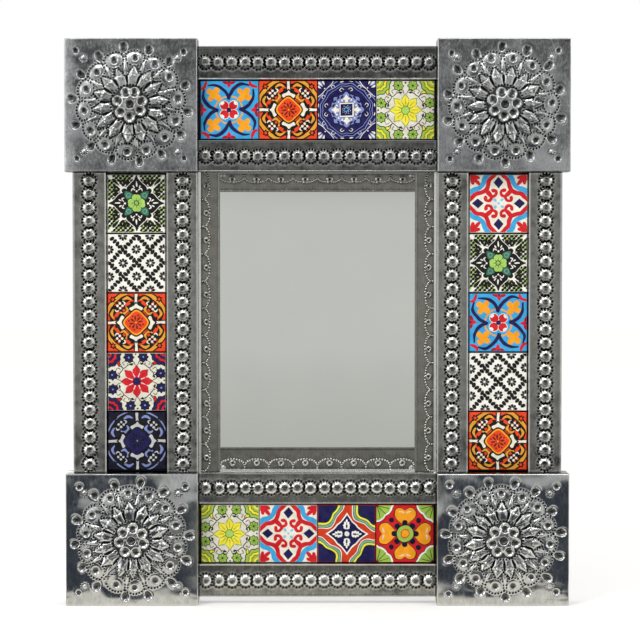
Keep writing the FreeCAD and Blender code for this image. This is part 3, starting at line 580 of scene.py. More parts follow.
def pressFlower(sheet, f, turnDegrees, petals, outward, seed):
    rng = np.random.default_rng(seed)
    dotRadius, dotDepth = f["dotRadius"], f["dotDepth"]
    x, z = sheet["x"], sheet["z"]
    sheet["relief"] += f["swellRise"] * bowl(np.hypot(x, z) / f["swellRadius"]) ** 1.6
    # the sheet bends back a little to its outer side, and buckles between the forms
    out = np.clip(1 - (sheet["width"] / 2 - x * outward) / f["bendReach"], 0, 1)
    sheet["relief"] -= f["bend"] * out ** 2
    way = f["buckleWay"]
    for _ in range(f["buckles"]):
        waveX, waveZ, phase = rng.uniform(-way, way), rng.uniform(-way, way), rng.uniform(0, 6.28)
        sheet["relief"] += f["buckle"] * np.sin(x * waveX + z * waveZ + phase)

    turn = math.radians(turnDegrees)
    step = 2 * math.pi / petals
    for k in range(petals):
        a = turn + k * step + rng.normal(0, 0.02)

        # round outer petal with its scalloped dotted edge and its punched boss
        def roundPetal(dx, dz):
            return f["roundPetalRise"] * bowl(np.hypot(dx, dz) / f["roundPetalRadius"], 4)
        petal = spotAt(a, f["scallopCentre"] + rng.normal(0, 0.25))
        stamp(sheet, *petal, f["scallopRadius"], roundPetal)
        half = f["scallopHalfAngle"]
        scallop = alongArc(petal, f["scallopRadius"], a - half, a + half, f["dotPitch"])
        dots(sheet, scallop, dotRadius, dotDepth)
        boss = spotAt(a, f["bossPlace"] + rng.normal(0, 0.4))
        pit(sheet, *boss, f["bossRadius"] * rng.uniform(0.85, 1.08), f["bossDepth"], 0.05)

        # pointed petal in front of it, a ridge with two small punched bumps and a serrated edge
        length = f["petalHalfLength"] * rng.uniform(0.92, 1.06)
        width = f["petalHalfWidth"] * rng.uniform(0.9, 1.1)
        lean = a + rng.normal(0, 0.05)
        place = f["petalPlace"] + rng.normal(0, 0.5)

        def ridge(dx, dz):
            # broadest a little outside its middle, with a blunt base and a sharp tip
            along, beside = inLine(dx, dz, lean)
            along = along / length
            inner = 0.55 + 0.45 * np.clip(1 + along, 0, 1) ** 0.7
            taper = np.where(along < 0.05, inner, bowl(np.clip((along - 0.05) / 0.95, 0, 1), 1.25))
            edge = np.abs(beside / width) / np.clip(taper, 0.03, None)
            rise = np.clip(1.15 + along, 0, 1) * np.clip((1 - along) * 4, 0, 1)
            return f["petalRise"] * rise * bowl(edge) * (np.abs(along) < 1)
        stamp(sheet, *spotAt(a, place), length * 1.1, ridge)
        for side in (-1, 1):
            dots(sheet, [turned(place + share * length,
                                side * (width * (1 - max(share - 0.05, 0) ** 1.25 / 0.95) + 0.5), lean)
                         for share in f["petalDots"]], dotRadius * 0.9, dotDepth)
        for offset in (-f["nubApart"], f["nubApart"]):
            def nub(dx, dz):
                return f["nubRise"] * bowl(np.hypot(dx, dz) / f["nubRadius"])
            stamp(sheet, *turned(place, offset, a), f["nubReach"], nub)

        # punched drop between two round petals, with double dots and the zigzag below it
        b = a + step / 2
        drop = spotAt(b, f["dropPlace"] + rng.normal(0, 0.5))
        oval(sheet, *drop, f["dropHalfLength"] * rng.uniform(0.85, 1.1),
             f["dropHalfWidth"] * rng.uniform(0.85, 1.1), f["dropDepth"], b + rng.normal(0, 0.12), -0.25)
        for side in (-1, 1):
            double = [turned(q, side * f["dropDotsApart"], b) for q in f["dropDots"]]
            dots(sheet, double, dotRadius * 0.9, dotDepth)
            foot = spotAt(b + side * step * f["zigzagSpread"], f["zigzagFoot"])
            leg = alongLine(spotAt(b, f["middlePetalTip"]), foot, f["dotPitch"] * 0.85)
            dots(sheet, leg[1:], dotRadius * 0.85, dotDepth * 0.9)

        def middlePetal(dx, dz):
            along, beside = inLine(dx, dz, b)
            along = along / f["middlePetalHalfLength"]
            edge = f["middlePetalHalfWidth"] * np.clip(0.5 - along / 2, 0.01, None) + 0.2
            return f["middlePetalRise"] * bowl(np.abs(along), 3) * bowl(np.abs(beside) / edge)
        stamp(sheet, *spotAt(b, f["middlePetalPlace"]), f["middlePetalReach"], middlePetal)
        oval(sheet, *spotAt(b, f["gapPlace"]), f["gapHalfLength"], f["gapHalfWidth"], f["gapDepth"], b, -0.4)

    # raised centre: cups with swollen rims round one more, and a dotted hem
    cups = [(0.0, 0.0)]
    for k in range(f["cups"]):
        a = turn * 2 + 2 * math.pi * k / f["cups"] + rng.normal(0, 0.05)
        cups.append(spotAt(a, f["cupPlace"] + rng.normal(0, 0.25)))

    def centre(dx, dz):
        high = f["centreRise"] * bowl(np.hypot(dx, dz) / f["centreRadius"], 4) ** 0.7
        for cupX, cupZ in cups[1:]:
            cup = bowl(np.hypot(dx - cupX, dz - cupZ) / f["cupRim"], 4) ** 0.7
            high = np.maximum(high, f["centreRise"] * 0.9 * cup)
        return high
    reach = f["cupPlace"] + f["cupRim"]
    stamp(sheet, 0, 0, reach + 1, centre)
    for cup in cups:
        pit(sheet, *cup, f["cupRadius"], f["cupDepth"], 0.2)
    dots(sheet, alongArc((0, 0), reach + 0.9, 0, 2 * math.pi, f["hemPitch"]), dotRadius, dotDepth)

    # a punched stud and a small star in each corner
    for signX in (-1, 1):
        for signZ in (-1, 1):
            half = sheet["width"] / 2
            inset = half - f["studInset"] + rng.normal(0, 0.5)
            studZ = signZ * (inset + rng.normal(0, 0.6))
            pit(sheet, signX * inset, studZ, f["studRadius"] * rng.uniform(0.8, 1.15), f["studDepth"], 0.06)
            inset = half - f["starInset"] + rng.normal(0, 0.3)
            star = (signX * inset, signZ * inset)

            def knob(dx, dz):
                return f["knobRise"] * bowl(np.hypot(dx, dz) / f["knobRadius"])
            stamp(sheet, *star, f["knobReach"], knob)
            for k in range(f["starRays"]):
                a = 2 * math.pi * k / f["starRays"] + seed
                oval(sheet, *spotAt(a, f["starRadius"], *star), *f["ray"], a)


for corner, (turnDegrees, petals, finish, outward, seed) in cornerBox["flowers"].items():
    low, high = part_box("corner_box_" + corner)
    sheet = newSheet(low, high, cornerBox["cell"])
    pressFlower(sheet, cornerBox, turnDegrees, petals, outward, seed)
    roundEdges(sheet, cornerBox["fold"])
    pressedPiece("pressedBox_" + corner, sheet, -cornerBox["depth"] * mm, 0.0, tin[finish], "tin",
                 ["corner_box_" + corner], cornerBox["rim"])
print("corner boxes pressed")


# rail strips with their rows of daisies
railStrip = {
    "front": 16.5, "cell": 0.46, "fold": 0.5, "rowPitch": 11.4, "columnPitch": 11.7,
    "domeRadius": 6.2, "domeRise": 1.85, "flatShare": 0.38, "dimpleRadius": 2.8, "dimpleDepth": 0.6,
    # a daisy's flat centre is painted darker as painted shade, out to the last radius on the next line
    "rimRadius": 7.1, "rimRise": 0.12, "paintedShadeRadius": 2.8,
    "notches": 14, "notchPlace": 6.2, "notch": (1.35, 0.74, 1.5),
    "hemWidth": 1.5, "hemRise": 0.42, "overhang": 0.7, "rim": (0.5, 0.5), "crestFrom": 0.3, "wearAndShadingReach": 3.0,
    "buckle": 0.12,
}


def pressDaisy(sheet, r, x, z, rng):
    def dome(dx, dz):
        q = np.hypot(dx, dz) / r["domeRadius"]
        t = np.clip((1 - q) / (1 - r["flatShare"]), 0, 1)
        return r["domeRise"] * t * t * (3 - 2 * t)
    stamp(sheet, x, z, r["domeRadius"] + 0.6, dome)

    def rim(dx, dz):
        return r["rimRise"] * np.exp(-((np.hypot(dx, dz) - r["rimRadius"]) / 0.7) ** 2)
    stamp(sheet, x, z, r["rimRadius"] + 1.6, rim)
    pit(sheet, x + rng.normal(0, 0.15), z + rng.normal(0, 0.15), r["dimpleRadius"], r["dimpleDepth"], 0.1)

    # painted shade: the daisy's flat centre is laid in the shade layer, so it is painted darker
    def centre(dx, dz):
        return np.exp(-(np.hypot(dx, dz) / r["paintedShadeRadius"]) ** 4)
    stamp(sheet, x, z, r["paintedShadeRadius"] * 1.6, centre, "paintedShade")
    start = rng.uniform(0, 1)
    for k in range(r["notches"]):
        a = start + 2 * math.pi * k / r["notches"]
        oval(sheet, *spotAt(a, r["notchPlace"], x, z), *r["notch"], a)


def pressHem(sheet, r, alongX):
    edge = sheet["height"] / 2 - np.abs(sheet["z"]) if alongX else sheet["width"] / 2 - np.abs(sheet["x"])
    q = edge / r["hemWidth"]
    sheet["relief"] += r["hemRise"] * bowl(2 * q - 1) * (q < 1)


seed = 10
for side in ("top", "right", "bottom", "left"):
    for part in ("inner", "outer"):
        seed += 1
        rng = np.random.default_rng(seed)
        node = f"{side}_rail_{part}_strip"
        low, high = [corner.copy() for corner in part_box(node)]
        alongX = side in ("top", "bottom")
        # the folded lip reaches a little over the tiles
        toTiles = (1 if side in ("top", "right") else -1) * (1 if part == "inner" else -1)
        lip = low if toTiles < 0 else high
        lip[2 if alongX else 0] += toTiles * railStrip["overhang"] * mm
        sheet = newSheet(low, high, railStrip["cell"])
        sheet["crestFrom"], sheet["wearAndShadingReach"] = railStrip["crestFrom"], railStrip["wearAndShadingReach"]
        pitch = railStrip["rowPitch"] if alongX else railStrip["columnPitch"]
        length = sheet["width"] if alongX else sheet["height"]
        count = int(length / pitch)
        for k in range(count):
            spot = (k - (count - 1) / 2) * pitch + rng.normal(0, 0.25)
            beside = rng.normal(0, 0.2) - toTiles * railStrip["overhang"] / 2
            pressDaisy(sheet, railStrip, *((spot, beside) if alongX else (beside, spot)), rng)
        pressHem(sheet, railStrip, alongX)
        buckle = np.sin(sheet["x"] * 0.11 + seed) * np.sin(sheet["z"] * 0.13 + 2 * seed)
        sheet["relief"] += railStrip["buckle"] * buckle
        roundEdges(sheet, railStrip["fold"])
        # the top rail takes the darker, painted-shade copy of the rails' tin
        pressedPiece(f"pressedStrip_{side}_{part}", sheet, -railStrip["front"] * mm, high.y - 0.02 * mm,
                     tin["shadedTopRail" if side == "top" else "rails"], "tin", [node], railStrip["rim"])
print("rail strips pressed")


# strips that hold the glass
mirrorStrip = {
    "front": 8.6, "back": 8.1, "cell": 0.42, "lipWidth": 1.3, "lipRise": 0.25, "flangeRise": 4.2,
    "flangeWidths": {"top": 1.5, "right": 2.4, "bottom": 2.9, "left": 2.2}, "flangeSlope": 0.3,
    "rowPitch": 21.0, "columnPitch": 23.6, "dotRadius": 0.95, "dotRise": 0.75, "dotPitch": 2.1,
    "cusps": -0.32, "bulges": 0.01, "ringPlace": -0.15, "ringRadius": 1.8, "ringWidth": 0.6, "ringRise": 0.9,
    "ringReach": 4.0, "wearAndShadingTop": 0.3, "crestFrom": 2.0,
}


def pressMirrorStrip(sheet, m, side, rng):
    alongX = side in ("top", "bottom")
    toGlass = -1 if side in ("top", "right") else 1
    across = sheet["z"] if alongX else sheet["x"]
    width = sheet["height"] if alongX else sheet["width"]
    fromGlass = width / 2 - across * toGlass
    fromRail = width - fromGlass
    sheet["relief"] += m["lipRise"] * (fromGlass < m["lipWidth"])
    # the flange against the rail ends in a fold that slopes to the glass
    flange = m["flangeWidths"][side]
    sheet["relief"] += (m["flangeRise"] + m["flangeSlope"] * (flange - fromRail)) * (fromRail < flange)
    sheet["wearAndShadingTop"], sheet["crestFrom"] = m["wearAndShadingTop"], m["crestFrom"]
    length = sheet["width"] if alongX else sheet["height"]
    pitch = m["rowPitch"] if alongX else m["columnPitch"]
    count = int(length / pitch)
    pitch = length / count
    for k in range(count):
        spot = (k - (count - 1) / 2) * pitch
        # one scallop, bulging towards the glass, with its cusps near the rail
        points = []
        steps = int(pitch / m["dotPitch"] * 1.3)
        for i in range(steps):
            way = math.pi * (1 - i / steps)
            bulge = width * (m["cusps"] + (m["bulges"] - m["cusps"]) * math.sin(way) ** 0.8)
            points.append((spot + math.cos(way) * pitch / 2, bulge + rng.normal(0, 0.12)))
        points = [(along, toGlass * aside) for along, aside in points]
        if not alongX:
            points = [(aside, along) for along, aside in points]
        dots(sheet, points, m["dotRadius"], -m["dotRise"])
        aside = toGlass * m["ringPlace"] * width
        x, z = (spot, aside) if alongX else (aside, spot)

        def ring(dx, dz):
            q = np.hypot(dx, dz)
            raised = m["ringRise"] * np.exp(-((q - m["ringRadius"]) / m["ringWidth"]) ** 2)
            return raised - 0.2 * np.exp(-(q / 1.1) ** 2)
        stamp(sheet, x, z, m["ringReach"], ring)


for index, side in enumerate(("top", "right", "bottom", "left")):
    node = "mirror_strip_" + side
    low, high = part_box(node)
    sheet = newSheet(low, high, mirrorStrip["cell"])
    pressMirrorStrip(sheet, mirrorStrip, side, np.random.default_rng(40 + index))
    pressedPiece("pressedMirrorStrip_" + side, sheet, -mirrorStrip["front"] * mm, -mirrorStrip["back"] * mm,
                 tin["mirrorStrips"], "tin_dark", [node])
print("mirror strips pressed")


# painted tiles: brush strokes and filled shapes laid in thin coats of glaze
tile = {
    "half": 25.0, "face": 15.5, "coat": 0.016, "bed": 0.03, "edge": 0.985, "wobble": 0.007, "gloss": 0.2,
    "glazes": {
        "sky": "#3aa3da", "navy": "#1b184e", "midnight": "#100f2b", "orange": "#f7a01a", "red": "#cf1b26",
        "scarlet": "#e6461b", "rust": "#cf3d1c", "amber": "#e39d31", "cream": "#ece7d6", "white": "#f1efe6",
        "offWhite": "#dddac9", "black": "#14130f", "lime": "#a4cc62", "green": "#54803a", "leaf": "#9cc04c",
        "teal": "#3c7263", "mint": "#7fb089", "yellow": "#efdf3a", "brown": "#5c2410",
        "periwinkle": "#7f8bc2", "paleBlue": "#86c4e8", "blush": "#f6cda6", "lemon": "#e8e34a",
        "crimson": "#9c1224", "pearl": "#c2c4c8",
    },
}


def makeGlaze(name, hexCode):
    # tin-glazed earthenware, painted by hand and fired: glassy, slightly uneven in its colour
    # where the coat is thin, with a soft orange-peel surface
    material, tree, where = newMaterial(name)
    thick = noise(tree, where, 6, 3.0, 0.6)
    rgb = toLinear(hexCode)[:3]
    thin = [min(1.0, c * 1.12 + 0.01) for c in rgb] + [1.0]
    deep = [c * 0.86 for c in rgb] + [1.0]
    colour = mixed(tree, ranged(tree, thick, 0.3, 0.7), deep, thin)
    flecks = ranged(tree, noise(tree, where, 0.8, 2.0), 0.66, 0.78, 0.0, 0.25)
    finishMaterial(tree, mixed(tree, flecks, colour, thin), ranged(tree, thick, 0.0, 1.0, 0.10, 0.22),
                   bumped(tree, noise(tree, where, 3.5, 1.0), 0.05),
                   {"IOR": 1.5, "Specular IOR Level": tile["gloss"]})
    return material


glaze = {name: makeGlaze(name + "Glaze", hexCode) for name, hexCode in tile["glazes"].items()}


def smooth(points, closed=False, perSpan=5):
    # a curve through the points
    last = len(points)
    curve = []
    for i in range(last if closed else last - 1):
        near = range(i - 1, i + 3)
        a, b, c, d = [points[j % last if closed else min(max(j, 0), last - 1)] for j in near]
        for step in range(perSpan):
            t = step / perSpan
            curve.append(tuple(
                0.5 * (2 * b[k] + (c[k] - a[k]) * t + (2 * a[k] - 5 * b[k] + 4 * c[k] - d[k]) * t * t
                       + (3 * b[k] - a[k] - 3 * c[k] + d[k]) * t ** 3) for k in (0, 1)))
    return curve if closed else curve + [points[-1]]


def lay(paint, colour, verts, spots):
    # turns and flips a shape with the brush, and lays it one coat above whatever it crosses
    c, s = math.cos(paint["turn"]), math.sin(paint["turn"])
    spots = [(x * paint["flip"] * c - z * s, x * paint["flip"] * s + z * c) for x, z in spots]
    left, right = min(x for x, z in spots), max(x for x, z in spots)
    low, high = min(z for x, z in spots), max(z for x, z in spots)
    level = 1 + max((old[4] for old in paint["laid"]
                     if old[0] < right and old[1] > left and old[2] < high and old[3] > low), default=0)
    paint["laid"].append((left, right, low, high, level))
    if colour not in paint["colours"]:
        paint["colours"].append(colour)
    for vert, (x, z) in zip(verts, spots):
        vert.co = (x, z, level * tile["coat"])
        for face in vert.link_faces:
            face.material_index = paint["colours"].index(colour)


def fill(paint, colour, outline):
    verts = bmesh.ops.create_circle(paint["bm"], cap_ends=True, segments=len(outline), radius=1)["verts"]
    lay(paint, colour, verts, outline)


def patch(paint, colour, points, perSpan=4):
    fill(paint, colour, smooth(points, True, perSpan))


def stroke(paint, colour, points, width, shares=(0.5, 1, 1, 0.5), closed=False, perSpan=5):
    # a brush stroke; shares of its width at even steps along it
    line = smooth(points, closed, perSpan)
    if closed:
        line.append(line[0])
    steps = len(line) - 1
    verts = bmesh.ops.create_grid(paint["bm"], x_segments=steps, y_segments=1, size=1)["verts"]
    spots = []
    for vert in verts:
        i = round((vert.co.x + 1) / 2 * steps)
        side = 1 if vert.co.y > 0 else -1
        before, after = line[max(i - 1, 0)], line[min(i + 1, steps)]
        if closed and i in (0, steps):
            before, after = line[steps - 1], line[1]
        dx, dz = after[0] - before[0], after[1] - before[1]
        length = math.hypot(dx, dz) or 1.0
        share = 1 if closed else float(np.interp(i / steps, np.linspace(0, 1, len(shares)), shares))
        half = width / 2 * side * share
        spots.append((line[i][0] - dz / length * half, line[i][1] + dx / length * half))
    lay(paint, colour, verts, spots)
    if closed:
        bmesh.ops.remove_doubles(paint["bm"], verts=verts, dist=0.0001)


def inked(paint, ink, colour, points, width, shares=(0.5, 1, 1, 0.5), edge=0.035, perSpan=5):
    stroke(paint, ink, points, width + 2 * edge, shares, perSpan=perSpan)
    stroke(paint, colour, points, width, shares, perSpan=perSpan)


def at(*hundredths):
    # points from hundredths of half the tile's side, x and z in turn
    return [(x / 100, z / 100) for x, z in zip(hundredths[::2], hundredths[1::2])]


def mirrored(half):
    # a whole outline from its left half, which may start on the middle line
    return half + [(-x, z) for x, z in reversed(half) if x]


def grown(outline, middle, share):
    return [(middle[0] + (x - middle[0]) * share, middle[1] + (z - middle[1]) * share) for x, z in outline]


def arc(radius, start, end, count, x=0.0, z=0.0):
    return [spotAt(a, radius, x, z) for a in np.radians(np.linspace(start, end, count)).tolist()]


def circle(radius, sides, x=0.0, z=0.0):
    return arc(radius, 0, 360, sides + 1, x, z)[:-1]


def shaped(count, radiusAt, x=0.0, z=0.0):
    # a closed outline from its radius at each angle
    ways = [2 * math.pi * i / count for i in range(count)]
    return [spotAt(a, radiusAt(a), x, z) for a in ways]


def dot(paint, colour, x, z, radius, sides=12):
    fill(paint, colour, circle(radius, sides, x, z))


def leaf(paint, colour, x, z, length, width, turn, point=0.4, sides=12):
    # an oval, or a drop whose blunt end lies towards turn
    turn = math.radians(turn)
    outline = []
    for along, beside in circle(1.0, sides):
        beside *= width / 2 * (1 + point * along)
        along *= length / 2
        outline.append((x + along * math.cos(turn) - beside * math.sin(turn),
                        z + along * math.sin(turn) + beside * math.cos(turn)))
    fill(paint, colour, outline)


def ring(paint, colour, x, z, radius, width, sides=32):
    stroke(paint, colour, circle(radius, sides, x, z), width, closed=True, perSpan=1)


def lobed(x, z, radius, lobes, depth=0.12, perLobe=6):
    return shaped(lobes * perLobe, lambda a: radius * (1 + depth * math.cos(lobes * a)), x, z)


def quarters(paint, flips=(1,)):
    # the same strokes in each quarter of the tile, or in each eighth of it
    for k in range(4):
        for flip in flips:
            paint["turn"], paint["flip"] = k * math.pi / 2, flip
            yield k
    paint["turn"], paint["flip"] = 0.0, 1


both = (1, -1)


def paintBlueClover(p):
    for _ in quarters(p):
        for x, z, r in ((-0.67, 0.62, 0.11), (-0.43, 0.66, 0.11), (-0.64, 0.38, 0.1), (-0.4, 0.42, 0.11)):
            dot(p, "orange", x, z, r)
        leaf(p, "orange", -0.53, 0.52, 0.34, 0.26, 135, 0)
        leaf(p, "orange", -0.36, 0.34, 0.16, 0.09, 135, 0)
        stroke(p, "red", at(-100, 70, -86, 76, -78, 98), 0.11)
        for side in both:
            leaf(p, "crimson", side * 0.13, 0.95, 0.24, 0.13, 90 - side * 60, 0.3)
        leaf(p, "red", 0, 0.88, 0.26, 0.15, 90, 0.5)
        leaf(p, "navy", 0, 0.98, 0.1, 0.09, 90, 0)
    ring(p, "orange", 0, 0, 0.47, 0.05)
    for _ in quarters(p):
        stroke(p, "navy", at(-72, 83, -45, 83, -20, 70, -6, 52, -3, 37), 0.115, (0.35, 0.8, 1, 1, 0.8))
        stroke(p, "navy", at(-85, 70, -90, 42, -72, 16, -52, 3, -36, -4), 0.115, (0.4, 0.9, 1, 1, 0.9))
    for _ in quarters(p):
        dot(p, "cream", 0.155, 0.16, 0.17, 14)
        dot(p, "red", 0.15, 0.155, 0.15, 14)
    for _ in quarters(p):
        for a in (15, 45, 75):
            leaf(p, "white", *around(a, 0.08, 0.17, 0.17), 0.1, 0.05, a, 0.2)
    dot(p, "navy", 0, 0, 0.08)


def paintBandedCross(p, c):
    # one pattern in two sets of glazes
    for _ in quarters(p):
        inked(p, c["dark"], c["band"], arc(1.06, 108, 162, 7), c["bandWidth"], (1, 1), 0.045, 2)
        stroke(p, c["shade"], arc(0.9, 112, 158, 6), 0.05, (1, 1), perSpan=2)
        fill(p, c["dark"], lobed(-0.8, 0.8, 0.1, 6, 0.25, 4))
        dot(p, c["field"], -0.8, 0.8, 0.05, 8)
    for _ in quarters(p, both):
        patch(p, c["dark"], at(-6, 82, -30, 96, -57, 82, -54, 60, -34, 44, -12, 56))
        stroke(p, c["dark"], at(-62, 50, -78, 42, -86, 20, -86, 4), 0.075, (0.5, 1, 1))
    for _ in quarters(p, both):
        stroke(p, c["band"], at(-14, 78, -30, 86, -46, 78), 0.1, (0.3, 1, 0.5))
        stroke(p, c["field"], at(-20, 70, -38, 60), 0.11, (0.8, 1, 0.8))
        stroke(p, c["light"], at(-46, 74, -38, 68, -42, 60), 0.05, (0.3, 1, 0.4))
        stroke(p, c["field"], at(-70, 30, -76, 16, -74, 6), 0.06, (0.5, 1, 0.5))
    for _ in quarters(p):
        inked(p, c["dark"], c["light"], at(0, 104, 0, 84, 0, 62), 0.11, (1, 0.7, 1), 0.045)
        flare = at(0, 66, -8, 58, -23, 51, -18, 42, 0, 38, 18, 42, 23, 51, 8, 58)
        patch(p, c["dark"], grown(flare, (0, 0.5), 1.38))
        patch(p, c["light"], flare)
        inked(p, c["dark"], c["band"], at(-56, 36, -44, 30, -34, 38), 0.1, (0.3, 1, 0.5), 0.025)
        inked(p, c["dark"], c["band"], at(-36, 56, -30, 44, -38, 34), 0.09, (0.3, 1, 0.5), 0.025)
    for _ in quarters(p):
        for i in range(3):
            for j in range(3):
                role = "light" if (i + j) % 2 else "dark"
                dot(p, c[role], -0.64 + i * 0.085, 0.66 - j * 0.085, 0.045, 8)
    diamond = [around(45 * k, 0.345 if k % 2 else 0.42) for k in range(8)]
    for role, share in (("dark", 1.18), ("rim", 1.06), ("centre", 0.93)):
        patch(p, c[role], grown(diamond, (0, 0), share))
    for k in range(8):
        a = 45 * k + 10
        leaf(p, c["line"], *around(a, 0.14), 0.2, 0.06, a, 0.5, 8)
        dot(p, c["line"], *around(a + 20, 0.25), 0.035, 6)
    dot(p, c["speck"], 0, 0, 0.03, 6)


def paintBlueMedallion(p):
    for _ in quarters(p, both):
        stroke(p, "periwinkle", at(0, 88, -20, 90, -38, 78, -60, 66, -66, 64), 0.026, (1, 1))
        stroke(p, "periwinkle", at(0, 80, -18, 82, -36, 70, -56, 56), 0.018, (1, 1))
        stroke(p, "cream", at(-8, 70, -16, 75, -22, 68, -15, 64), 0.024, (0.5, 1, 0.6))
        stroke(p, "periwinkle", at(-30, 100, -44, 90, -62, 76), 0.035, (1, 1))
        stroke(p, "cream", at(-44, 100, -54, 86, -70, 70), 0.025, (1, 0.8))
        stroke(p, "cream", at(-46, 72, -52, 80, -44, 84, -38, 78), 0.022, (0.5, 1, 0.6))
        leaf(p, "cream", -0.16, 0.97, 0.14, 0.04, 10, 0.3, 8)
        leaf(p, "cream", -0.8, 0.95, 0.2, 0.07, 115, 0.5, 8)
    for _ in quarters(p):
        leaf(p, "periwinkle", -0.9, 0.9, 0.28, 0.13, 135, 0.6)
        leaf(p, "cream", -0.9, 0.9, 0.2, 0.06, 135, 0.6, 8)
        dot(p, "cream", -0.74, 0.74, 0.025, 6)
    star = shaped(96, lambda a: 0.52 + 0.07 * abs(math.cos(4 * a)) ** 1.5 + 0.025 * math.cos(16 * a))
    fill(p, "midnight", grown(star, (0, 0), 1.06))
    fill(p, "periwinkle", star)
    for _ in quarters(p, both):
        stroke(p, "navy", at(-10, 50, -18, 42, -14, 32), 0.055, (0.5, 1, 0.7))
        stroke(p, "navy", at(-24, 46, -32, 36), 0.07, (0.6, 1, 0.6))
        dot(p, "navy", -0.13, 0.46, 0.04, 8)
    for _ in quarters(p):
        patch(p, "cream", at(0, 52, -6, 43, -13, 37, -5, 33, -5, 22, 5, 22, 5, 33, 13, 37, 6, 43), 3)
        for a in (115, 135, 155):
            leaf(p, "cream", *around(a, 0.37), 0.1, 0.05, a, 0.3, 8)
    for half, colour in ((0.26, "navy"), (0.245, "cream"), (0.205, "navy")):
        fill(p, colour, [(-half, -half), (half, -half), (half, half), (-half, half)])
    for k in range(8):
        a = 45 * k + 10
        leaf(p, "paleBlue", *around(a, 0.08), 0.08, 0.028, a, 0.4, 8)
        dot(p, "cream", *around(a + 22, 0.145), 0.013, 5)


def paintGardenFlower(p, c):
    for _ in quarters(p, both):
        stroke(p, "black", at(-10, 62, -28, 58, -45, 46, -56, 60, -70, 66), 0.028, (1, 1, 0.7))
        stroke(p, "black", at(-4, 56, -9, 68, -20, 68, -22, 60, -15, 57), 0.032, (0.6, 1, 0.9))
        stroke(p, "black", at(-42, 56, -48, 66, -40, 70), 0.026, (1, 0.6))
        dot(p, "black", -0.16, 0.61, 0.035, 8)
        dot(p, "black", -0.3, 0.62, 0.022, 6)
    for _ in quarters(p, both):
        fill(p, "black", lobed(-0.25, 0.84, 0.175, 8, 0.14, 4))
        fill(p, c["rosette"], lobed(-0.25, 0.84, 0.145, 8, 0.14, 4))
        for k in range(8):
            a = 45 * k + 22
            vein = [around(a, r, -0.25, 0.84) for r in (0.04, 0.13)]
            stroke(p, c["vein"], vein, 0.022, (1, 0.6), perSpan=1)
        dot(p, c["eye"], -0.25, 0.84, 0.035, 8)
    for _ in quarters(p):
        dot(p, "black", 0, 0.95, 0.032, 8)
        leaf(p, "black", -0.62, 0.64, 0.26, 0.13, 100, 0.3)
        leaf(p, c["petal"], -0.62, 0.64, 0.21, 0.08, 100, 0.3)
        for radius, colour in ((0.5, "black"), (0.47, c["rosette"]), (0.37, "black"), (0.35, c["ring"]),
                               (0.27, "black"), (0.25, c["rosette"]), (0.17, c["ring"]), (0.1, c["vein"])):
            fill(p, colour, lobed(-1.0, 1.0, radius, 12, 0.05, 4))
    petal = ((-22.5, 0.31), (-18, 0.4), (-10, 0.445), (0, 0.55), (10, 0.445), (18, 0.4))
    flower = [around(45 * k + turn, r) for k in range(8) for turn, r in petal]
    fill(p, c["outline"], grown(flower, (0, 0), 1.06))
    fill(p, c["petal"], flower)
    for k in range(8):
        for turn, ends, width, role in ((0, (0.2, 0.42), 0.022, "fold"), (22.5, (0.12, 0.31), 0.035, "gap")):
            stroke(p, c[role], [around(45 * k + turn, r) for r in ends], width, (1, 0.5), perSpan=1)
    dot(p, c["outline"], 0, 0, 0.155, 16)
    dot(p, c["heart"], 0, 0, 0.13, 16)


def paintLimeHearts(p):
    # specks and beads between the hearts and the corners
    pitch = 0.078
    cells = [(i, j) for i in range(-13, 14) for j in range(-13, 14)]
    for bead, limits in ((False, (0.56, 0.1, 0.12, 0.86)), (True, (0.5, 0.12, 0.1, 0.8))):
        for i, j in cells:
            x, z = i * pitch, j * pitch
            outer, inner = max(abs(x), abs(z)), min(abs(x), abs(z))
            reaches = (outer, inner, outer - inner, outer + 1.2 * inner)
            if any(reach < limit for reach, limit in zip(reaches, limits)):
                continue
            if bead and (i + j) % 2 == 0:
                leaf(p, "black", x, z, pitch * 1.65, pitch * 1.3, 45 if (i + 2 * j) % 3 else 0, 0, 6)
            elif not bead and (i * 7 + j * 3) % 5 < 2:
                dot(p, "leaf", x + pitch / 2, z, pitch * 0.72, 6)
    petal = mirrored(at(0, 97, -7, 82, -20, 69, -33, 56, -34, 42, -24, 30, -8, 20))
    for _ in quarters(p):
        patch(p, "white", grown(petal, (0, 0.52), 1.09), 3)
        dot(p, "white", -0.44, 0.44, 0.14)
    for _ in quarters(p):
        patch(p, "black", petal, 3)
        for turn in (-66, -44, -22, 0, 22, 44, 66):
            far, long = (0.42, 0.36) if turn == 0 else (0.3, 0.24)
            leaf(p, "black", *around(135 + turn, far, -0.42, 0.42), long, 0.1, 135 + turn, 0.6, 10)
        dot(p, "black", -0.43, 0.43, 0.09)
    for _ in quarters(p):
        for side in both:
            curl = [(side * 0.05, 0.44), (side * 0.15, 0.5), (side * 0.19, 0.42)]
            stroke(p, "white", curl, 0.04, (0.6, 1, 0.6))
            leaf(p, "white", side * 0.1, 0.56, 0.12, 0.045, 90 - side * 30, 0.3, 8)
        leaf(p, "white", 0, 0.66, 0.2, 0.055, 90, -0.4, 8)
        dot(p, "white", 0, 0.4, 0.035, 8)
    for _ in quarters(p):
        spade = at(-14, 14, -34, 15, -41, 41, -15, 34)
        patch(p, "black", grown(spade, (-0.26, 0.26), 1.12))
        patch(p, "teal", spade)
        ring(p, "mint", -0.28, 0.28, 0.07, 0.02, 10)
    clover = shaped(48, lambda a: 0.2 + 0.12 * abs(math.cos(2 * a)) ** 0.6
                    - 0.035 * abs(math.cos(2 * a)) ** 14)
    fill(p, "black", grown(clover, (0, 0), 1.1))
    fill(p, "lime", clover)
    for k in range(8):
        stroke(p, "green", [around(45 * k, r) for r in (0.08, 0.18)], 0.03, (1, 0.4), perSpan=1)
    dot(p, "black", 0, 0, 0.09)
    dot(p, "lime", 0, 0, 0.06)
    dot(p, "green", 0, 0, 0.02, 6)


